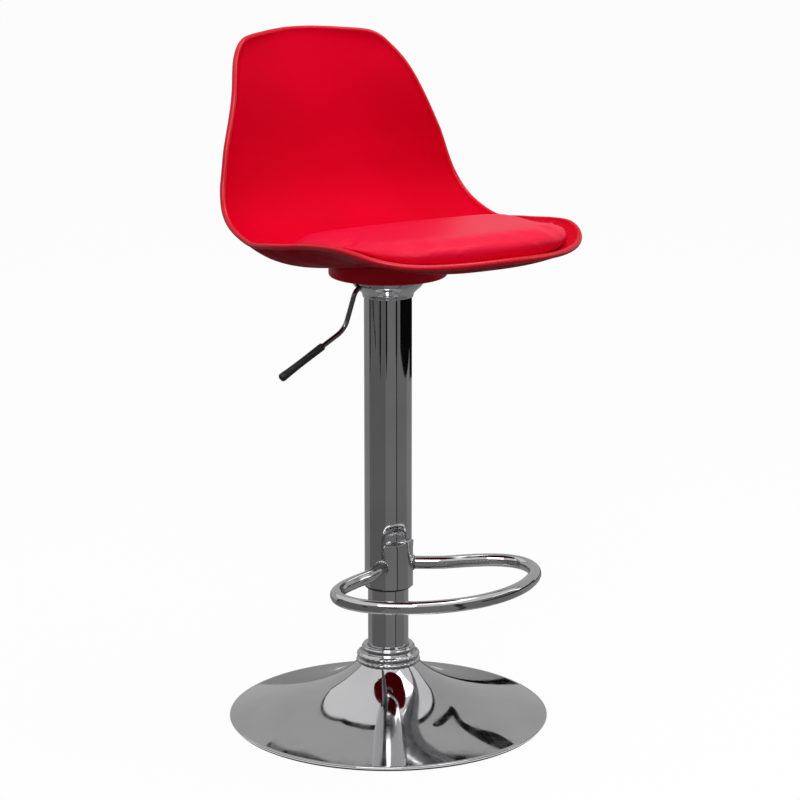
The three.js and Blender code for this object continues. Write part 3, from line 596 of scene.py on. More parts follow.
@dataclass
class TrumpetBase:
    """The chrome trumpet, its collar and the rubber ring it stands on, in mm."""

    cover_rows: int = 150
    cover_sides: int = 320
    ring_sides: int = 256
    radius: float = 197.5
    sheet: float = 1.6
    face_inset: float = 2.2
    inner_inset: float = 6.0
    neck_crowding: float = 1.7
    lip_top: float = 5.0
    lip_bottom: float = 2.5
    lip_round: float = 1.6
    lip_lift: float = 0.35
    lip_return: Tuple[Pair, ...] = ((3.4, 0.0), (5.0, 0.6))
    neck_radius: float = 27.7
    cone_share: float = 0.10
    flare_length: float = 26.0
    flare_centre: float = 12.0
    collar_foot: float = 38.6
    collar_lift: float = 0.35
    collar_rise: float = 23.0
    collar_rim: float = 30.1
    collar_rim_round: float = 1.0
    collar_start: float = 37.6
    collar_hollow: Tuple[Pair, ...] = ((25.15, 22.5), (25.15, 8.0), (33.6, 1.2))
    collar_rounds: Tuple[Tuple[float, ...], ...] = (
        (37.0, 2.6, 0.13, -75, 80, 14), (36.4, 2.5, 0.44, -70, 75, 14), (32.5, 1.0, 0.62, -20, 60, 5),
        (30.8, 2.2, 0.82, -60, 70, 12),
    )
    flute_count: int = 34
    flute_depth: float = 0.55
    flute_twist: float = 0.9
    flute_fade: float = 0.8
    flute_inner: float = 32.6
    flute_points: int = 14
    flute_shares: Pair = (0.02, 0.56)
    ring_inset: float = 2.5
    ring_round: float = 1.2
    ring_section: Tuple[Pair, ...] = ((0, 2.45), (8, 2.45), (13, 4.95), (23, 4.95), (23, 0))

    def height(self, radius: Array) -> Array:
        """The outer face's height: a straight cone plus a flare that steepens towards the axis."""
        flare = np.log((self.radius - self.flare_centre) / (radius - self.flare_centre))
        return self.lip_top + self.cone_share * (self.radius - radius) + self.flare_length * flare

    def cover(self) -> Piece:
        """The trumpet: its outer face, a rolled lip and the inner face a sheet's thickness below."""
        share = np.linspace(0, 1, self.cover_rows) ** self.neck_crowding
        radii = self.neck_radius + (self.radius - self.face_inset - self.neck_radius) * share
        outer = np.stack([radii, self.height(radii)], 1)
        slope = self.cone_share + self.flare_length / (radii - self.flare_centre)
        inner = np.stack([radii, self.height(radii) - self.sheet * np.hypot(1, slope)], 1)
        inner = inner[radii < self.radius - self.inner_inset][::3]
        middle = 0.5 * (self.lip_top + self.lip_bottom) + self.lip_lift
        lip = arc_points((self.radius - self.lip_round, middle), self.lip_round, 80, -90, 16)
        turn = [[self.radius - inset, self.lip_bottom + rise] for inset, rise in self.lip_return]
        profile = np.concatenate([outer, lip, turn, inner[::-1]])
        return turned_piece("base_cover_fine", profile, self.cover_sides)

    def collar(self) -> Piece:
        """The collar: two rope-like beads between steps, round the foot of the column.

        Each of collar_rounds is an arc: its centre's radius, its own radius, its height as a share
        of the collar's, its first and last angle and its number of points.
        """
        foot = float(self.height(np.array(self.collar_foot))) + self.collar_lift
        rise = self.collar_rise
        rim_height = foot + rise - self.collar_rim_round
        rounds = [
            arc_points((centre, foot + share * rise), size, start, end, steps)
            for centre, size, share, start, end, steps in self.collar_rounds
        ]
        rim = arc_points((self.collar_rim, rim_height), self.collar_rim_round, 0, 90, 6)
        hollow = np.array(self.collar_hollow) + [0.0, foot]
        profile = np.concatenate([[[self.collar_start, foot]], *rounds, rim, hollow])
        low, high = (foot + share * rise for share in self.flute_shares)

        def flutes(height: Array, angle: Array) -> Array:
            """Twisted flutes: a cosine of the angle that fades out above and below the two beads."""
            above, below = (height - low) / self.flute_fade, (high - height) / self.flute_fade
            band = np.clip(above, 0, 1) * np.clip(below, 0, 1)
            twist = self.flute_count * angle + (height - foot) * self.flute_twist
            outside = (profile[:, :1] > self.flute_inner) * 1.0
            return -self.flute_depth * band * outside * (0.5 + 0.5 * np.cos(twist))

        return turned_piece("base_collar_fine", profile, self.flute_count * self.flute_points, flutes)

    def ring(self) -> Piece:
        """The rubber ring: a flat foot, a rounded outer edge and the ledge under the lip."""
        outer = self.radius - self.ring_inset
        edge = arc_points((outer - self.ring_round, self.ring_round), self.ring_round, -90, 0, 8)
        rest = [[outer - inset, height] for inset, height in self.ring_section]
        return turned_piece("floor_ring_fine", np.concatenate([edge, rest]), self.ring_sides)

    def build(self, chrome: Material, rubber: Material) -> None:
        """Builds and dresses the base."""
        finish_piece(self.cover(), Body.BASE, "chrome", chrome, "base_cover")
        finish_piece(self.collar(), Body.BASE, "chrome", chrome, "base_collar")
        finish_piece(self.ring(), Body.BASE, "black_rubber", rubber, "floor_ring")


# The column


@dataclass
class Column:
    """The two chrome tubes, the guide between them and the cup under the seat, in mm.

    The steps of the lower tube are measured from its radius and its plate's top or its own top, and
    the guide's section has its heights above the cover tube's lower end. A row of cup_rows is a
    share of the flare, its inner radius and its depth under the rim.
    """

    tube_sides: int = 224
    guide_sides: int = 160
    cup_sides: int = 200
    tube_rows: int = 60
    sweep_rows: int = 36
    lower_radius: float = 25.0
    lower_bottom: float = 15.5
    lower_top: float = 430.0
    plate_bore: float = 18.0
    plate_radius: float = 48.0
    plate_thickness: float = 5.0
    foot_steps: Tuple[Pair, ...] = ((1.2, 0.0), (0.2, 0.6), (0.0, 1.6))
    straight_start: float = 6.0
    straight_end: float = 0.6
    top_steps: Tuple[Pair, ...] = ((-0.2, -0.15), (-0.6, 0.0), (-2.0, 0.0))
    floor_top: float = 34.0
    floor_bottom: float = 28.0
    floor_hole: float = 5.4
    cover_radius: float = 29.0
    cover_wall: float = 1.5
    cover_bottom: float = 171.0
    cover_top: float = 540.0
    cover_ease: float = 0.45
    guide_section: Tuple[Pair, ...] = (
        (25.35, -2.1), (25.9, -2.6), (28.0, -2.6), (28.7, -1.9), (28.7, -0.05), (27.2, 0.0), (27.2, 29.0),
        (25.35, 29.0),
    )
    cup_bore: float = 29.2
    cup_overlap: float = 8.0
    cup_top: float = 556.7
    cup_wall: float = 1.4
    cup_drop: Pair = (0.2, 1.0)
    cup_lip: float = 0.4
    cup_rows: Tuple[Triple, ...] = (
        (0.0, 29.3, 23.2), (0.15, 30.3, 20.0), (0.35, 34.2, 15.8), (0.6, 39.4, 10.6), (0.82, 42.4, 5.6),
        (1.0, 43.0, 0.0),
    )
    slot_half: float = 4.4
    slot_base: float = 548.0
    slot_top: float = 560.0
    slot_ends: Pair = (-60.0, -27.0)

    def lower_tube(self) -> Piece:
        """The column with its floor plate, as one closed wall."""
        plate_top = self.lower_bottom + self.plate_thickness
        corner = np.array([self.lower_radius, plate_top])
        low, high = plate_top + self.straight_start, self.lower_top - self.straight_end
        straight = np.linspace(low, high, self.tube_rows)
        top = np.array([self.lower_radius, self.lower_top]) + self.top_steps
        profile = np.concatenate(
            [
                [[self.plate_bore, self.lower_bottom], [self.plate_radius, self.lower_bottom]],
                [[self.plate_radius, plate_top]],
                corner + self.foot_steps,
                np.column_stack([np.full_like(straight, self.lower_radius), straight]),
                top,
                [[top[-1, 0], self.floor_top], [self.floor_hole, self.floor_top]],
                [[self.floor_hole, self.floor_bottom], [self.plate_bore, self.floor_bottom]],
            ]
        )
        return turned_piece("lower_column_fine", profile, self.tube_sides)

    def cover_tube(self) -> Piece:
        """The plain tube that slides over the column, with eased ends."""
        ease, inner = self.cover_ease, self.cover_radius - self.cover_wall
        low, high = self.cover_bottom, self.cover_top
        steps = np.linspace(low + ease, high - ease, self.tube_rows)
        bottom = arc_points((self.cover_radius - ease, low + ease), ease, -90, 0, 4)
        outside = np.column_stack([np.full_like(steps, self.cover_radius), steps])
        top = arc_points((self.cover_radius - ease, high - ease), ease, 0, 90, 4)
        profile = np.concatenate([bottom, outside, top, [[inner, high], [inner, low]]])
        return turned_piece("cover_tube_fine", profile, self.tube_sides)

    def guide(self) -> Piece:
        """The black guide that shows as a thin ring under the cover tube."""
        profile = np.array(self.guide_section) + [0.0, self.cover_bottom]
        return turned_piece("tube_guide_fine", profile, self.guide_sides)

    def cup(self) -> Piece:
        """The cup: a short sleeve that flares in one sweep to a thin rim."""
        radius, depth = smooth_rows(np.array(self.cup_rows), np.linspace(0, 1, self.sweep_rows)).T
        sweep = np.column_stack([radius, self.cup_top - depth])
        inside = np.concatenate([[[self.cup_bore, self.cover_top - self.cup_overlap]], sweep])
        outside = inside + np.array([self.cup_wall, 0.0])
        outside[2:, 1] -= np.linspace(*self.cup_drop, len(outside) - 2)
        outside[-1, 1] = self.cup_top - self.cup_lip
        piece = turned_piece("top_cup_fine", np.concatenate([outside, inside[::-1]]), self.cup_sides)
        self.cut_slot(piece)
        return piece

    def cut_slot(self, piece: Piece) -> None:
        """Opens the cup's wall on the lever's side with a round-ended slot."""
        angle = np.linspace(0, np.pi, 13)
        half, top = self.slot_half, self.slot_top
        low = np.stack([half * np.cos(angle), self.slot_base - half * np.sin(angle)], 1)
        outline = np.concatenate([[[half, top]], low, [[-half, top]]])
        ends = [np.column_stack([np.full(len(outline), x), outline]) for x in self.slot_ends]
        caps = [np.repeat(end.mean(0)[None], len(outline), 0) for end in ends]
        cutter = grid_piece("slot_cutter", np.stack([caps[0], *ends, caps[1]]) * MM)
        modify(piece, "BOOLEAN", object=cutter, operation="DIFFERENCE", solver="EXACT")
        apply_modifiers(piece)
        bpy.data.objects.remove(cutter)

    def build(self, chrome: Material, black: Material) -> None:
        """Builds and dresses the column."""
        finish_piece(self.lower_tube(), Body.BASE, "chrome", chrome, "lower_column")
        finish_piece(self.cover_tube(), Body.SEAT, "chrome", chrome, "cover_tube")
        finish_piece(self.guide(), Body.SEAT, "black_plastic", black, "tube_guide")
        finish_piece(self.cup(), Body.SEAT, "chrome", chrome, "top_cup")


# The foot ring


@dataclass
class FootRest:
    """The bent tube and the curved saddle that it is welded to, in mm.

    path_shares are the left half of the tube's centre line, from the saddle to the front, as shares
    of the reach and of the half width. A weld's lump is its height, its count and its phase.
    """

    height: float = 199.5
    path_points: int = 420
    tube_radius: float = 8.0
    tube_sides: int = 44
    tube_sink: float = 1.3
    reach: float = 196.0
    half_width: float = 133.0
    saddle_inner: float = 29.15
    saddle_sheet: float = 1.9
    saddle_bottom: float = 171.0
    saddle_rise: float = 61.5
    saddle_angle: float = 0.813
    saddle_ease: float = 0.5
    saddle_rows: int = 49
    saddle_columns: int = 61
    saddle_crease: float = 50.0
    corner: float = 11.0
    flare_height: float = 10.0
    flare_out: float = 3.2
    weld_round: float = 1.25
    weld_lumps: Tuple[Triple, ...] = ((0.22, 17, 0.0), (0.12, 31, 1.0))
    weld_gap: float = 0.2
    weld_lift: float = 0.3
    weld_limits: Pair = (-9.0, 12.0)
    weld_lead: int = 6
    weld_points: int = 96
    weld_sides: int = 14
    path_shares: Tuple[Pair, ...] = (
        (0.11, 0.184), (0.205, 0.4), (0.265, 0.625), (0.328, 0.81), (0.41, 0.943), (0.51, 1.0),
        (0.62, 0.979), (0.726, 0.895), (0.825, 0.744), (0.913, 0.541), (0.977, 0.28),
    )

    def path(self) -> Array:
        """The tube's centre line: two arms, two corners and the long front curve."""
        half = np.array(self.path_shares) * [self.reach, self.half_width]
        mirrored = half[::-1] * [1, -1]
        plan = np.concatenate([half, [[self.reach, 0.0]], mirrored])
        points = np.column_stack([plan[:, 1], -plan[:, 0], np.full(len(plan), self.height)])
        return spaced_curve(points, self.path_points)

    def tube(self) -> Piece:
        """The bent tube, its ends run into the saddle's wall."""
        path = self.path()
        outside = np.hypot(path[:, 0], path[:, 1]) > self.saddle_inner + self.saddle_sheet - self.tube_sink
        path = path[outside]
        return swept_tube("foot_ring_fine", path, np.full(len(path), self.tube_radius), self.tube_sides)

    def saddle(self) -> Piece:
        """The saddle: part of a cylinder with rounded top corners and a lip turned outwards."""
        angle = np.linspace(-self.saddle_angle, self.saddle_angle, self.saddle_columns)[None, :]
        share = np.linspace(0, 1, self.saddle_rows)[:, None]
        around = self.saddle_inner + self.saddle_sheet
        past = np.maximum(around * (np.abs(angle) - self.saddle_angle) + self.corner, 0)
        top = self.saddle_rise - self.corner + np.sqrt(np.maximum(self.corner**2 - past**2, 0))
        height = share * top
        flare = np.clip(1 - (top - height) / self.flare_height, 0, 1)
        fade = 1 - (past / self.corner) ** 2
        radius = self.saddle_inner + self.flare_out * flare**2 * fade
        place = [radius * np.sin(angle), -radius * np.cos(angle), self.saddle_bottom + height]
        piece = grid_piece("foot_saddle_fine", np.stack(place, -1) * MM, wrap_columns=False)
        modify(piece, "SOLIDIFY", thickness=self.saddle_sheet * MM, offset=-1.0)
        edge = modify(piece, "BEVEL", width=self.saddle_ease * MM, segments=3)
        edge.limit_method = "ANGLE"
        edge.angle_limit = math.radians(self.saddle_crease)
        apply_modifiers(piece)
        face_outwards(piece)
        return piece

    def weld(self, name: str, side: int) -> Piece:
        """The weld round one arm: a lumpy bead where the tube meets the saddle.

        Its spine is a circle round the tube, each point moved along the arm until it lies just
        outside the saddle's cylinder.

        Args:
            name: the piece's name.
            side: 1 for the arm where the path starts, -1 for the other.

        Returns:
            The new object.
        """
        path = self.path()[::side]
        outer = self.saddle_inner + self.saddle_sheet
        start = int(np.argmax(np.hypot(path[:, 0], path[:, 1]) > outer))
        ahead = path[start + self.weld_lead] - path[start]
        ahead = ahead / np.linalg.norm(ahead)
        angle = np.linspace(0, 2 * np.pi, self.weld_points, endpoint=False)[:, None]
        round_tube = np.cross(ahead, UP) * np.cos(angle) + UP * np.sin(angle)
        spine = path[start] + round_tube * (self.tube_radius + self.weld_gap)
        along = spine @ ahead
        square = along**2 - np.sum(spine[:, :2] ** 2, 1) + (outer + self.weld_lift) ** 2
        shift = np.sqrt(np.maximum(square, 0)) - along
        spine = spine + ahead * np.clip(shift, *self.weld_limits)[:, None]
        section = np.linspace(0, 2 * np.pi, self.weld_sides, endpoint=False)[None, :, None]
        lumps = [lump * np.sin(angle * count + phase) for lump, count, phase in self.weld_lumps]
        size = self.weld_round + sum(lumps)
        ring = round_tube[:, None] * np.cos(section) + ahead * np.sin(section)
        return grid_piece(name, (spine[:, None] + ring * size[:, None]) * MM, wrap_rows=True)

    def build(self, chrome: Material) -> None:
        """Builds and dresses the foot rest."""
        finish_piece(self.tube(), Body.SEAT, "chrome", chrome, "foot_ring")
        finish_piece(self.saddle(), Body.SEAT, "chrome", chrome, "foot_saddle")
        for name, side in (("foot_weld_left", 1), ("foot_weld_right", -1)):
            finish_piece(self.weld(name, side), Body.SEAT, "chrome", chrome)


# The lever


@dataclass
class Lever:
    """The bent height lever and its grip, in mm.

    Its places are along X and up. A row of grip_shares is a share of the grip's length and of its
    greatest radius.
    """

    radius: float = 3.0
    start: Pair = (3.0, 547.4)
    bend: Pair = (-45.0, 547.4)
    knee: Pair = (-61.7, 498.0)
    end: Pair = (-152.0, 448.3)
    bend_radius: float = 12.0
    core_share: float = 0.6
    pivot: Pair = (-23.5, 547.4)
    barrel_half: float = 4.2
    barrel_radii: Tuple[float, ...] = (3.9, 4.2, 4.2, 4.2, 4.2, 4.2, 3.9)
    grip_radius: float = 5.2
    grip_start: float = 0.335
    corner_points: int = 24
    run_points: int = 14
    grip_points: int = 70
    rod_sides: int = 28
    barrel_sides: int = 32
    grip_sides: int = 36
    end_share: float = 0.02
    tip_share: float = 0.03
    cap_share: float = 0.045
    grip_shares: Tuple[Pair, ...] = (
        (0, 0.6), (0.012, 0.8), (0.03, 0.88), (0.1, 0.9), (0.45, 0.86), (0.78, 0.92), (0.9, 1.0),
        (0.955, 1.0),
    )

    @staticmethod
    def place(point: Pair) -> Array:
        """A place of the lever as a point in space."""
        return np.array([point[0], 0.0, point[1]])

    def corner(self, before: Array, point: Array, after: Array) -> Array:
        """A rounded corner, by a quadratic curve that leaves each arm at the bend radius."""
        a = point + (before - point) / np.linalg.norm(before - point) * self.bend_radius
        b = point + (after - point) / np.linalg.norm(after - point) * self.bend_radius
        t = np.linspace(0, 1, self.corner_points)[:, None]
        return (1 - t) ** 2 * a + 2 * t * (1 - t) * point + t**2 * b

    def path(self) -> Array:
        """The rod's centre line, with its two corners rounded."""
        start, bend, knee, end = (self.place(p) for p in (self.start, self.bend, self.knee, self.end))
        tip = knee + (end - knee) * self.core_share
        first, second = self.corner(start, bend, knee), self.corner(bend, knee, tip)
        above, between, below = (
            np.linspace(a, b, self.run_points)
            for a, b in ((start, first[0]), (first[-1], second[0]), (second[-1], tip))
        )
        return np.concatenate([above[:-1], first, between[1:-1], second, below[1:]])

    def rod(self) -> Piece:
        """The plated rod with its pivot barrel."""
        path = self.path()
        rod = swept_tube("lever_rod_fine", path, np.full(len(path), self.radius), self.rod_sides)
        radii = np.array(self.barrel_radii)
        across = np.linspace(-self.barrel_half, self.barrel_half, len(radii))[:, None]
        line = self.place(self.pivot) + across * np.array([0.0, 1.0, 0.0])
        return joined(rod, swept_tube("lever_barrel", line, radii, self.barrel_sides))

    def grip(self) -> Piece:
        """The grip: a sleeve that swells towards its rounded end."""
        knee = self.place(self.knee)
        run = self.place(self.end) - knee
        tip = 1 - self.tip_share * np.linspace(1, 0, self.run_points)[1:] ** 2
        body = np.linspace(self.grip_start, 1 - self.tip_share, self.grip_points)
        share = np.concatenate([body, tip])
        place = (share - self.grip_start) / (1 - self.grip_start)
        radius = smooth_rows(np.array(self.grip_shares), place)[:, 0] * self.grip_radius
        cap = np.clip((place - 1) / self.cap_share + 1, 0, 1)
        radius *= np.sqrt(np.maximum(1 - cap**2, self.end_share**2))
        return swept_tube("lever_grip_fine", knee + run * share[:, None], radius, self.grip_sides)

    def build(self, chrome: Material, black: Material) -> None:
        """Builds and dresses the lever."""
        finish_piece(self.rod(), Body.LEVER, "chrome", chrome, "lever_rod")
        finish_piece(self.grip(), Body.LEVER, "black_plastic", black, "lever_grip")


# The seat


@dataclass
class SeatForm:
    """The bucket's surface: a centre line and a side rise, in mm.

    A row of centre_shares is a place from the back to the front and a height. A row of side_shares
    is a place of the rim, its width and its rise. A row of powers is a place along the centre line
    and how sharply the sides turn up there.
    """

    back: float = 206.0
    front: float = 250.0
    floor: float = 577.0
    rise: float = 262.0
    half_width: float = 185.0
    side_rise: float = 100.0
    thickness: float = 5.0
    bead: float = 3.6
    pole: float = 0.64
    step: float = 0.002
    centre_shares: Tuple[Pair, ...] = (
        (0, 1.003), (0.072, 0.719), (0.11, 0.437), (0.145, 0.2635), (0.202, 0.142), (0.289, 0.0545),
        (0.399, 0.001), (0.526, 0.0215), (0.658, 0.0497), (0.789, 0.067), (0.91, 0.086), (1, 0.144),
    )
    side_shares: Tuple[Triple, ...] = (
        (0.012, 0.28, 1.05), (0.03, 0.485, 0.89), (0.07, 0.613, 0.754), (0.14, 0.716, 0.793),
        (0.24, 0.834, 0.676), (0.34, 0.903, 0.527), (0.44, 0.954, 0.407), (0.54, 0.969, 0.425),
        (0.64, 0.985, 0.384), (0.74, 0.936, 0.433), (0.84, 0.886, 0.476), (0.92, 0.737, 0.446),
        (0.97, 0.48, 0.444),
    )
    powers: Tuple[Pair, ...] = ((0.1, 1.82), (0.3, 2.38), (0.42, 3.19), (0.55, 4.42), (0.75, 2.72))

    def __post_init__(self) -> None:
        """Works out the tables that the surface reads."""
        along, up = np.array(self.centre_shares).T
        s = along * (self.back + self.front) - self.back
        z = self.floor + up * self.rise
        length = np.concatenate([[0], np.cumsum(np.hypot(np.diff(s), np.diff(z)))])
        self.length = float(length[-1])
        self.centre = np.column_stack([length / self.length, s, z])
        sides = np.array(self.side_shares)
        self.sides = sides[:, [0, 2]]
        turn = np.arccos(1 - 2 * sides[:, 0]) / np.pi
        self.outline_rows = np.concatenate([[[0, 0]], np.column_stack([turn, sides[:, 1]]), [[1, 0]]])

    def point(self, share: Array, width: Array) -> Array:
        """The upper face: the centre line, lifted square to itself by a power of the width."""
        s, z = np.moveaxis(smooth_rows(self.centre, share), -1, 0)
        ahead = smooth_rows(self.centre, share + self.step) - smooth_rows(self.centre, share - self.step)
        ahead = ahead / np.linalg.norm(ahead, axis=-1)[..., None]
        rise = smooth_rows(self.sides, share)[..., 0]
        power = smooth_rows(np.array(self.powers), share)[..., 0]
        lift = self.side_rise * rise * (np.abs(width) / self.half_width) ** power
        return np.stack([width + 0 * s, -(s - lift * ahead[..., 1]), z + lift * ahead[..., 0]], -1)

    def normal(self, share: Array, width: Array) -> Array:
        """The upper face's normal, towards the sitter."""
        reach = self.step * self.length
        along = self.point(share + self.step, width) - self.point(share - self.step, width)
        across = self.point(share, width + reach) - self.point(share, width - reach)
        normal = np.cross(along, across)
        return normal / np.linalg.norm(normal, axis=-1)[..., None]

    def rim_width(self, turn: Array) -> Array:
        """Half the rim's width at a share of the half turn from the back's top to the front."""
        return self.half_width * smooth_rows(self.outline_rows, turn)[..., 0]

    def outline(self, angle: Array) -> Tuple[Array, Array]:
        """The rim at an angle about the seat: zero at the back's top, pi at the front.

        Args:
            angle: angles in radians, 0 to two pi.

        Returns:
            The shares along the centre line, and the widths.
        """
        folded = np.minimum(angle, 2 * np.pi - angle)
        width = self.rim_width(folded / np.pi)
        return (1 - np.cos(folded)) / 2, np.where(angle <= np.pi, width, -width)

    def around(
        self, reach: Array, inset: float, pole: float, rim: Tuple[Array, Array]
    ) -> Tuple[Array, Array]:
        """Places at shares of the way from the pole to a rim, less an inset length.

        Args:
            reach: shares of the way out, one for each row.
            inset: a length in mm that the last row stays inside the rim.
            pole: the pole's share along the centre line.
            rim: the rim's shares and widths.

        Returns:
            Shares and widths, in rows.
        """
        share, width = rim
        distance = np.hypot((share - pole) * self.length, width)
        t = reach[:, None] * (1 - inset / distance)[None, :]
        return pole + (share - pole) * t, width * t


@dataclass
class Seat:
    """The bucket, the pad that lies in it and the round cover beneath, in mm.

    A row of pad_heights is a share along the centre line and of the pad's height. A row of pad_edge
    is a share of the way out and of the way up, from the pad's foot to its shoulder. The middle and
    bed spans are dense tables of the bucket: their first and last values and their counts.
    """

    form: SeatForm = field(default_factory=SeatForm)
    around_count: int = 240
    shell_rows: int = 84
    shell_crowding: float = 0.9
    bead_share: float = 0.022
    bead_turn: Span = (-40, 220, 30)
    inside_share: float = 0.998
    disc_radius: float = 71.5
    disc_bottom: float = 557.0
    disc_hole: float = 31.0
    disc_round: float = 4.0
    disc_wall: float = 2.5
    disc_floor: float = 3.0
    disc_ease: float = 0.6
    disc_sides: int = 180
    disc_margins: Pair = (4.0, 8.0)
    disc_wall_shares: Span = (0.15, 1.0, 6)
    middle_shares: Span = (0.4, 0.9, 320)
    middle_widths: Span = (-100, 100, 260)
    bed_shares: Span = (0.38, 1.0, 260)
    bed_widths: Span = (-185, 185, 220)
    bed_block: int = 400
    pad_count: int = 160
    pad_under: Tuple[float, int] = (0.96, 30)
    pad_over: Tuple[float, int] = (0.7, 24)
    pad_rear: float = 0.45
    pad_front: float = 0.977
    pad_pole: float = 0.68
    pad_inset: float = 11.3
    pad_round: float = 184.0
    pad_height: float = 48.0
    pad_crown: float = 3.0
    pad_least: float = 7.0
    pad_gap: float = 0.6
    pad_shrink: float = 2.2
    pad_fill: float = 0.8
    pad_heights: Tuple[Pair, ...] = (
        (0.43, 0.47), (0.5, 0.55), (0.58, 0.74), (0.66, 0.95), (0.75, 1.01), (0.84, 1.09), (0.92, 1.18),
        (0.98, 1.27),
    )
    pad_edge: Tuple[Pair, ...] = (
        (0.968, 0.02), (0.978, 0.1), (0.99, 0.2), (0.998, 0.32), (1, 0.42), (0.9975, 0.52),
        (0.9912, 0.62), (0.9812, 0.7), (0.9675, 0.775), (0.95, 0.84), (0.9275, 0.89), (0.9, 0.93),
        (0.8625, 0.965), (0.8125, 0.988), (0.75, 0.998),
    )

    def shell(self) -> Piece:
        """The bucket: an upper face, a rolled bead along the rim and the face beneath."""
        form = self.form
        rim = form.outline(np.linspace(0, 2 * np.pi, self.around_count, endpoint=False))
        reach = np.linspace(0, 1, self.shell_rows) ** self.shell_crowding
        share, width = form.around(reach, form.bead, form.pole, rim)
        point, normal = form.point(share, width), form.normal(share, width)
        clear = 1 - reach > self.bead_share
        upper = point[clear]
        lower = (point - normal * form.thickness)[clear][::2]
        edge, edge_normal = point[-1], normal[-1]
        inside = form.pole + (share[-1] - form.pole) * self.inside_share
        outward = edge - form.point(inside, width[-1] * self.inside_share)
        outward -= edge_normal * np.sum(outward * edge_normal, -1)[:, None]
        outward /= np.linalg.norm(outward, axis=-1)[:, None]
        centre = edge - edge_normal * form.thickness / 2
        turn = np.radians(np.linspace(*self.bead_turn))[:, None, None]
        bead = centre + form.bead * (edge_normal * np.cos(turn) + outward * np.sin(turn))
        swell = np.sin(np.linspace(0, np.pi, len(bead)))
        mask = np.concatenate([np.zeros(len(upper)), swell, np.zeros(len(lower))])
        return grid_piece("seat_shell_fine", np.concatenate([upper, bead, lower[::-1]]) * MM, mask=mask)

    def underside(self, x: Array, y: Array) -> Array:
        """The bucket's underside height at places near its middle, read from a dense table."""
        form = self.form
        spans = (self.middle_shares, self.middle_widths)
        share, width = np.meshgrid(*(np.linspace(*span) for span in spans), indexing="ij")
        table = (form.point(share, width) - form.normal(share, width) * form.thickness).reshape(-1, 3)
        away = (table[:, 0][None] - x[:, None]) ** 2 + (table[:, 1][None] - y[:, None]) ** 2
        return table[np.argmin(away, 1), 2]

    def disc(self) -> Piece:
        """The round cover: a shallow pan whose wall runs up to the bucket's underside."""
        angle = np.linspace(0, 2 * np.pi, self.disc_sides, endpoint=False)
        radius, low, hole = self.disc_radius, self.disc_bottom, self.disc_hole
        bend = low + self.disc_round
        top = self.underside(radius * np.cos(angle), radius * np.sin(angle)) + self.disc_ease
        near, far = self.disc_margins
        flat = [[r, low] for r in np.linspace(hole + near, radius - far, 8)]
        outer = np.concatenate(
            [
                [[hole, low + self.disc_ease], [hole + self.disc_ease, low]],
                flat,
                arc_points((radius - self.disc_round, bend), self.disc_round, -90, 0, 12),
            ]
        )
        rows = [(r, np.full_like(top, z)) for r, z in outer]
        rows += [(radius, bend + (top - bend) * share) for share in np.linspace(*self.disc_wall_shares)]
        rows += [(radius - self.disc_wall, top)]
        rows += [(r, np.full_like(top, low + self.disc_floor)) for r in (radius - self.disc_wall, hole)]
        grid = np.array([np.column_stack([r * np.cos(angle), r * np.sin(angle), z]) for r, z in rows])
        return grid_piece("seat_disc_fine", grid * MM, wrap_rows=True)

    def pad_rim(self, angle: Array) -> Tuple[Array, Array]:
        """The pad's outline: the bucket's own drawn in, with a rounded end at the rear.

        Args:
            angle: angles in radians, 0 at the rear.

        Returns:
            Shares and widths.
        """
        form = self.form
        folded = np.minimum(angle, 2 * np.pi - angle)
        share = self.pad_rear + (self.pad_front - self.pad_rear) * (1 - np.cos(folded)) / 2
        side = form.rim_width(np.arccos(1 - 2 * share) / np.pi) - self.pad_inset
        rear = np.minimum((share - self.pad_rear) * form.length / self.pad_round, 1)
        front = np.minimum((self.pad_front - share) * form.length / self.pad_inset, 1)
        ease = np.sqrt(np.maximum(1 - (1 - rear) ** 2, 0)) * np.sqrt(np.maximum(1 - (1 - front) ** 2, 0))
        width = np.maximum(side, 0) * ease
        return share, np.where(angle <= np.pi, width, -width)

    def pad_point(self, share: Array, width: Array, reach: Array, rise: Array, shrink: float) -> Array:
        """A place of the pad, between its foot on the bucket and its crowned top.

        Args:
            share: places along the bucket's centre line.
            width: places across it.
            reach: shares of the way out to the pad's rim.
            rise: shares of the way up from the foot.
            shrink: how far the pad's skin is drawn in.

        Returns:
            The points, in mm.
        """
        form = self.form
        foot = form.point(share, width) + form.normal(share, width) * (self.pad_gap + shrink)
        crown = self.pad_crown * (1 - reach**2)
        height = smooth_rows(np.array(self.pad_heights), share)[..., 0]
        top = form.floor + self.pad_height * height + crown - shrink
        foot[..., 2] += rise * np.maximum(top - foot[..., 2], self.pad_least - shrink)
        return foot

    def pad_grid(self, shrink: float) -> Array:
        """The pad's closed surface: underside, drawn-in foot, full side, round shoulder and top."""
        rim = self.pad_rim(np.linspace(0, 2 * np.pi, self.pad_count, endpoint=False))
        under = [(share, 0.0) for share in np.linspace(0, *self.pad_under)]
        over = [(share, 1.0) for share in np.linspace(self.pad_over[0], 0, self.pad_over[1])]
        rows = np.array(under + list(self.pad_edge) + over)
        share, width = self.form.around(rows[:, 0], shrink, self.pad_pole, rim)
        return self.pad_point(share, width, rows[:, :1], rows[:, 1:], shrink)

    def pad(self) -> Piece:
        """The pad: its form blown up a little as cloth, so that it looks stuffed."""
        piece = grid_piece("seat_pad", self.pad_grid(self.pad_shrink) * MM)
        Stuffing().fill(piece, self.above_bucket)
        return piece

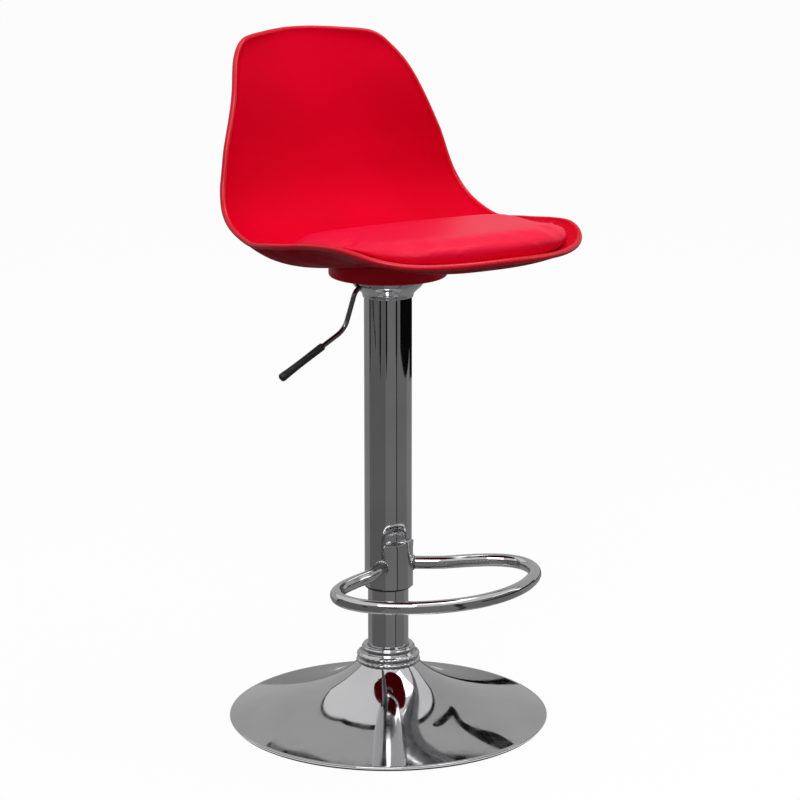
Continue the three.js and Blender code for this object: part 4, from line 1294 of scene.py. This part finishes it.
    def above_bucket(self, points: Array) -> Array:
        """How far each point lies from the bucket, both in metres, read from a dense table."""
        spans = (self.bed_shares, self.bed_widths)
        share, width = np.meshgrid(*(np.linspace(*span) for span in spans), indexing="ij")
        table = self.form.point(share, width).reshape(-1, 3)
        blocks = np.array_split(points / MM, len(points) // self.bed_block + 1)
        nearest = [((table[None] - block[:, None]) ** 2).sum(-1).min(1) for block in blocks]
        return np.sqrt(np.concatenate(nearest)) * MM

    def build(self, shell: Material, pad: Material, cover: Material) -> None:
        """Builds and dresses the seat."""
        finish_piece(self.shell(), Body.SEAT, "shell_plastic", shell, "seat_shell")
        finish_piece(self.disc(), Body.SEAT, "cover_plastic", cover, "seat_disc")
        piece = self.pad()
        finish_piece(piece, Body.SEAT, "pad_cover", pad, "seat_cushion")


@dataclass(frozen=True)
class Stuffing:
    """How a closed form is blown up as cloth: its fineness, pressure and limits, in metres."""

    voxel: float = 0.0045
    pressure: float = 4.0
    quality: int = 6
    mass: float = 0.3
    last_frame: int = 20
    cap: float = 0.0045
    clearance: float = 0.0006
    near: float = 0.006
    near_share: float = 0.8

    def fill(self, piece: Piece, distance: Callable[[Array], Array]) -> None:
        """Blows the form up and keeps each point near where it was.

        A point moves by its limit times tanh of the move over the limit, and the limit shrinks near
        what the pad lies in.

        Args:
            piece: the form, a little smaller than it should end.
            distance: gives each point's distance from what the pad lies in, in metres.
        """
        modify(piece, "REMESH", mode="VOXEL", voxel_size=self.voxel)
        apply_modifiers(piece)
        start = read_points(piece.data)
        cloth = modify(piece, "CLOTH")
        cloth.settings.use_pressure = True
        cloth.settings.uniform_pressure_force = self.pressure
        cloth.settings.quality = self.quality
        cloth.settings.mass = self.mass
        cloth.settings.effector_weights.gravity = 0.0
        cloth.point_cache.frame_start = 1
        cloth.point_cache.frame_end = self.last_frame
        scene = bpy.context.scene
        for frame_number in range(1, self.last_frame + 1):
            scene.frame_set(frame_number)
        apply_modifiers(piece)
        scene.frame_set(1)
        move = read_points(piece.data) - start
        room = np.clip(distance(start) - self.clearance, 0, None)
        limit = np.minimum(self.cap, np.where(room < self.near, room * self.near_share, self.cap))[:, None]
        size = np.linalg.norm(move, axis=1)[:, None]
        moved = start + move * (limit * np.tanh(size / np.maximum(limit, 1e-7)) / np.maximum(size, 1e-9))
        piece.data.vertices.foreach_set("co", moved.astype(np.float32).ravel())
        piece.data.update()
        modify(piece, "SMOOTH", factor=0.5, iterations=4)
        modify(piece, "SUBSURF", levels=1, render_levels=1)
        apply_modifiers(piece)


# The pieces that keep their own solids


@dataclass
class Workings:
    """The plates, bearing, gas spring, bracket and fasteners, by finish."""

    zinc: Tuple[str, ...] = (
        "bottom_plate",
        "bearing_washer_lower",
        "bearing_race",
        "bearing_washer_upper",
        "rod_washer",
        "rod_clip",
        "piston_rod",
        "valve_pin",
        "seat_bracket",
        "lever_pin",
        "base_bolt",
        "seat_bolt",
        "seat_washer",
    )
    iron: Tuple[str, ...] = ("ballast_disc",)
    enamel: Tuple[str, ...] = ("gas_cylinder",)
    brass: Tuple[str, ...] = ("seat_insert",)
    black: Tuple[str, ...] = ("hub_cap", "piston")
    grey: Tuple[str, ...] = ("column_bush", "tube_spacer")
    rubber: Tuple[str, ...] = ("rod_bumper",)

    def build(self, finishes: Dict[str, Material]) -> None:
        """Gives every CAD node with one of the names, numbered or not, its material."""
        for finish, names in asdict(self).items():
            for node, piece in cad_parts.items():
                if node in names or node.rstrip("0123456789").rstrip("_") in names:
                    piece.data.materials.clear()
                    piece.data.materials.append(finishes[finish])
                    log.info("dressed %s in %s", node, finish)


# The studio


@dataclass
class Studio:
    """The camera, floor, lamps and the cards that the chrome mirrors, in metres.

    Bearings are in degrees to the right of the camera. A row of a card's profile is its distance
    from the axis, its height and the share of the width kept there. A strip is its name, half its
    width, its grey and its course of bearings and elevations. A lamp is its name, its place, the
    height on the axis that it looks at, its size and its power.
    """

    camera_place: Triple = (-1.7314, -2.6424, 1.143)
    camera_ahead: Pair = (0.5519, 0.8339)
    camera_pitch: float = 13.178
    lens: float = 120.33
    sensor: float = 36.0
    view_end: float = 60.0
    floor_half: float = 12.0
    floor_seen: float = 0.95
    floor_lit: float = 0.07
    room_grey: float = 0.4
    wall: float = 1.25
    wall_top: float = 0.95
    card_lift: float = 0.004
    card_start: float = 0.205
    black: float = 0.004
    dark: float = 0.01
    side_cards: Tuple[Tuple[str, float, float, float], ...] = (
        ("left_card", -100, -12, 0.165),
        ("middle_card", -12, 39, 0.235),
        ("line_card", 39, 44, 0.05),
        ("right_card", 44, 100, 0.215),
    )
    far_span: Pair = (100, 260)
    far_rows: Tuple[Triple, ...] = ((0.205, 0.004, 1), (2.6, 0.004, 1), (2.6, 0.13, 1))
    far_grey: float = 0.29
    edge_span: Pair = (126, 178)
    edge_rows: Tuple[Triple, ...] = ((1.9, 0.006, 1), (2.55, 0.006, 1), (2.55, 0.14, 1))
    black_span: Pair = (60, 126)
    streak_rows: Tuple[Triple, ...] = ((1.2, 0.42, 1), (1.2, 0.22, 1), (1.2, 0.17, 0.1))
    streak_bearings: Tuple[int, ...] = (-95, -37, -7, 41)
    streak_half: float = 4.0
    dome_grey: float = 0.52
    dome_rows: Tuple[Triple, ...] = (
        (6.5, 0.0, 1), (6.5, 2.0, 1), (5.6, 3.6, 1), (4.2, 4.8, 1), (2.2, 5.6, 1), (0.0, 5.8, 1),
    )
    card_columns: int = 41
    strip_columns: int = 40
    strip_distance: float = 4.9
    strip_lift: float = 0.05
    strips: Tuple[Tuple[str, float, float, Tuple[Pair, ...]], ...] = (
        ("roof_line", 1.2, 0.01, ((161.6, 51.8), (156.7, 46.9), (153.8, 39.9))),
        ("roof_slope", 1.2, 0.01, ((153.8, 39.9), (158.0, 42.5), (161.0, 39.6), (162.0, 34.2))),
        (
            "floor_line",
            0.8,
            0.004,
            ((198.1, 35.0), (194.1, 43.6), (185.3, 48.1), (174.9, 49.9), (167.9, 46.2), (163.7, 39.9)),
        ),
    )
    panel_grey: float = 0.9
    panel_height: float = 3.0
    panel_hub: Pair = (-1.2, -1.2)
    panel_edge: Tuple[Pair, ...] = (
        (-5.0, 5.4), (0.52, 5.4), (0.47, 3.7), (0.44, 2.25), (0.58, 1.87), (0.8, 1.52), (1.1, 1.33),
        (1.7, 1.13), (2.15, 1.04), (2.95, 0.9), (3.9, 0.32), (4.6, 0.0), (4.6, -5.0), (-5.0, -5.0),
        (-5.0, 5.4),
    )
    border_shares: Pair = (0.99, 1.03)
    border_height: float = 2.99
    lamps: Tuple[Tuple[str, Triple, float, float, float], ...] = (
        ("key_softbox", (-1.4, -1.6, 2.6), 0.55, 1.5, 34),
        ("top_softbox", (0.5, -0.3, 2.9), 0.5, 1.6, 26),
        ("side_softbox", (2.4, -1.2, 1.4), 0.5, 1.2, 8),
    )

    def camera(self) -> None:
        """The photograph's camera: square frame, no shift, looking down a little."""
        data = bpy.data.cameras.new("camera")
        data.sensor_width = self.sensor
        data.lens = self.lens
        data.clip_end = self.view_end
        camera = put("camera", data)
        camera.location = self.camera_place
        pitch = math.radians(self.camera_pitch)
        x, y = self.camera_ahead
        look = Vector((x * math.cos(pitch), y * math.cos(pitch), -math.sin(pitch)))
        camera.rotation_euler = look.to_track_quat("-Z", "Y").to_euler()
        bpy.context.scene.camera = camera

    def floor(self) -> None:
        """A pale floor that shows white to the camera and to mirrors but keeps the stool's shadow."""
        signs = np.array([[-1, -1, 0], [1, -1, 0], [1, 1, 0], [-1, 1, 0]])
        piece = make_mesh("floor", signs * self.floor_half, np.array([[0, 1, 2, 3]]))
        shader = Shader("pale_floor")
        seen = shader.plainly_seen()
        colour = shader.blend(seen, (self.floor_lit,) * 3, (self.floor_seen,) * 3)
        pale = shader.node("ShaderNodeBsdfDiffuse", {}, {"Color": colour})
        white = shader.light("ShaderNodeEmission", 1.0)
        mix = shader.node("ShaderNodeMixShader", {}, {0: seen * self.floor_seen, 1: pale, 2: white})
        piece.data.materials.append(shader.finish(mix))

    def glow(self, piece: Piece, grey: float) -> None:
        """Makes a mesh a card of one brightness that only the gloss mirrors."""
        shader = Shader(piece.name)
        piece.data.materials.append(shader.finish(shader.light("ShaderNodeEmission", grey)))
        piece.visible_camera = piece.visible_diffuse = piece.visible_shadow = False

    def round_places(self, radius: Array, bearing: Array, height: Array) -> Array:
        """Points at a radius, a bearing in degrees to the right of the camera, and a height."""
        angle = np.radians(bearing) + math.atan2(self.camera_place[1], self.camera_place[0])
        return np.stack([radius * np.cos(angle), radius * np.sin(angle), height + 0 * angle], -1)

    def card(self, name: str, span: Pair, rows: Sequence[Triple], grey: float) -> None:
        """A curved studio card round the stool: a profile carried from one bearing to another.

        Args:
            name: the card's name.
            span: the bearings where it starts and ends.
            rows: its profile.
            grey: how bright it shows, 0 to 1.
        """
        radius, height, keep = (column[:, None] for column in np.array(rows).T)
        start, end = span
        across = np.linspace(-0.5, 0.5, self.card_columns)
        bearing = (start + end) / 2 + (end - start) * across * keep
        self.glow(grid_piece(name, self.round_places(radius, bearing, height), wrap_columns=False), grey)

    def strip(self, name: str, half: float, grey: float, course: Sequence[Pair]) -> None:
        """A narrow strip hung far off, along bearings and elevations, that tapers to its ends.

        Args:
            name: the strip's name.
            half: half its width in degrees at its middle.
            grey: how bright it shows, 0 to 1.
            course: its bearings and elevations in degrees, as seen from the base.
        """
        share = np.linspace(0, 1, self.strip_columns)
        middle = smooth_rows(np.column_stack([np.linspace(0, 1, len(course)), course]), share)
        run = np.gradient(middle, axis=0)
        across = np.stack([-run[:, 1], run[:, 0]], 1)
        across /= np.linalg.norm(across, axis=1)[:, None]
        width = half * np.sqrt(np.maximum(1 - (2 * share - 1) ** 4, 0.01))[:, None]
        edges = np.stack([middle - across * width, middle + across * width])
        rise = np.radians(edges[..., 1])
        radius, height = self.strip_distance * np.cos(rise), self.strip_distance * np.sin(rise)
        place = self.round_places(radius, edges[..., 0], height + self.strip_lift)
        self.glow(grid_piece(name, place, wrap_columns=False), grey)

    def panel(self, name: str, shares: Pair, height: float, grey: float) -> None:
        """A flat ceiling card between two shares of the way from the hub to the panel's edge."""
        edge, hub = np.array(self.panel_edge), np.array(self.panel_hub)
        flat = hub + (edge - hub) * np.array(shares)[:, None, None]
        place = np.concatenate([flat, np.full((2, len(edge), 1), height)], -1)
        self.glow(grid_piece(name, place, wrap_columns=False), grey)

    def cards(self) -> None:
        """The cards of the set: they draw the streaks that the tubes and the base show."""
        front = [(radius, self.card_lift, 1) for radius in (self.card_start, self.wall)]
        front.append((self.wall, self.wall_top, 1))
        for name, start, end, grey in self.side_cards:
            self.card(name, (start, end), front, grey)
        self.card("far_card", self.far_span, self.far_rows, self.far_grey)
        self.card("black_card", self.black_span, self.streak_rows, self.black)
        self.card("edge_card", self.edge_span, self.edge_rows, self.black)
        for bearing in self.streak_bearings:
            span = (bearing - self.streak_half, bearing + self.streak_half)
            self.card(f"streak_{bearing + 100}", span, self.streak_rows, self.dark)
        self.card("grey_dome", (0, 360), self.dome_rows, self.dome_grey)
        for strip in self.strips:
            self.strip(*strip)
        self.panel("ceiling_panel", (0.0, 1.0), self.panel_height, self.panel_grey)
        self.panel("ceiling_edge", self.border_shares, self.border_height, self.dark)

    def lamp(self, name: str, place: Triple, aim: float, size: float, power: float) -> None:
        """A square softbox that looks at a height on the axis."""
        data = bpy.data.lights.new(name, "AREA")
        data.shape = "SQUARE"
        data.size = size
        data.energy = power
        lamp = put(name, data)
        lamp.location = place
        look = Vector((0.0, 0.0, aim)) - Vector(place)
        lamp.rotation_euler = look.to_track_quat("-Z", "Y").to_euler()

    def world(self) -> None:
        """A grey room that the camera and the gloss see as white."""
        shader = Shader("studio", world=True)
        room = shader.light("ShaderNodeBackground", self.room_grey)
        backdrop = shader.light("ShaderNodeBackground", 1.0)
        mix = shader.node("ShaderNodeMixShader", {}, {0: shader.plainly_seen(), 1: room, 2: backdrop})
        bpy.context.scene.world = shader.finish(mix)

    def build(self) -> None:
        """Sets the studio up."""
        self.camera()
        self.floor()
        self.cards()
        self.world()
        for lamp in self.lamps:
            self.lamp(*lamp)
        bpy.context.scene.view_settings.view_transform = "Standard"


def main() -> None:
    """Builds the stool piece by piece, then the studio."""
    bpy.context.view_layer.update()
    chrome = Chrome().make()
    # The lever's chrome has a painted dark reflection: its colour is darkened to stand in for the dark
    # surroundings that the rod mirrors.
    dark = Chrome("chrome_painted_dark_reflection", (0.22, 0.22, 0.225), (0.17, 0.17, 0.175)).make()
    black = MouldedPlastic("black_plastic", (0.012, 0.012, 0.013), (0.02, 0.02, 0.021), (0.3, 0.42)).make()
    rubber = MouldedPlastic("black_rubber", (0.01, 0.01, 0.01), (0.018, 0.018, 0.018), (0.7, 0.85)).make()
    shell = MouldedPlastic(
        "red_moulding",
        (0.74, 0.0005, 0.022), (0.65, 0.0005, 0.016),
        specular=0.03,
        ior=1.2,
        edge_gloss=0.65,
    ).make()
    cover = MouldedPlastic(
        "dark_red_moulding", (0.75, 0.002, 0.022), (0.62, 0.0015, 0.018), specular=0.12
    ).make()
    iron = RoughMetal(
        "iron_casting",
        (0.045, 0.045, 0.048), (0.03, 0.03, 0.031), (0.6, 0.8),
        metallic=0.7,
        grain_scale=300.0,
        grain_height=0.0003,
        stretch=(1, 1, 1),
    ).make()
    enamel = RoughMetal("black_enamel", (0.012, 0.012, 0.013), (0.016, 0.016, 0.017), (0.25, 0.35), 0.0)
    finishes = {
        "zinc": RoughMetal("zinc_plate", (0.5, 0.51, 0.53), (0.42, 0.43, 0.45), (0.28, 0.42)).make(),
        "iron": iron,
        "enamel": enamel.make(),
        "brass": RoughMetal("turned_brass", (0.62, 0.42, 0.15), (0.55, 0.36, 0.13), (0.25, 0.38)).make(),
        "black": black,
        "grey": MouldedPlastic("grey_acetal", (0.15, 0.155, 0.165), (0.18, 0.18, 0.19)).make(),
        "rubber": rubber,
    }
    TrumpetBase().build(chrome, rubber)
    Column().build(chrome, black)
    FootRest().build(chrome)
    # The rod wears the chrome with the painted dark reflection.
    Lever().build(dark, black)
    Seat().build(shell, Leatherette().make(), cover)
    Workings().build(finishes)
    Studio().build()


if __name__ == "__main__":
    main()
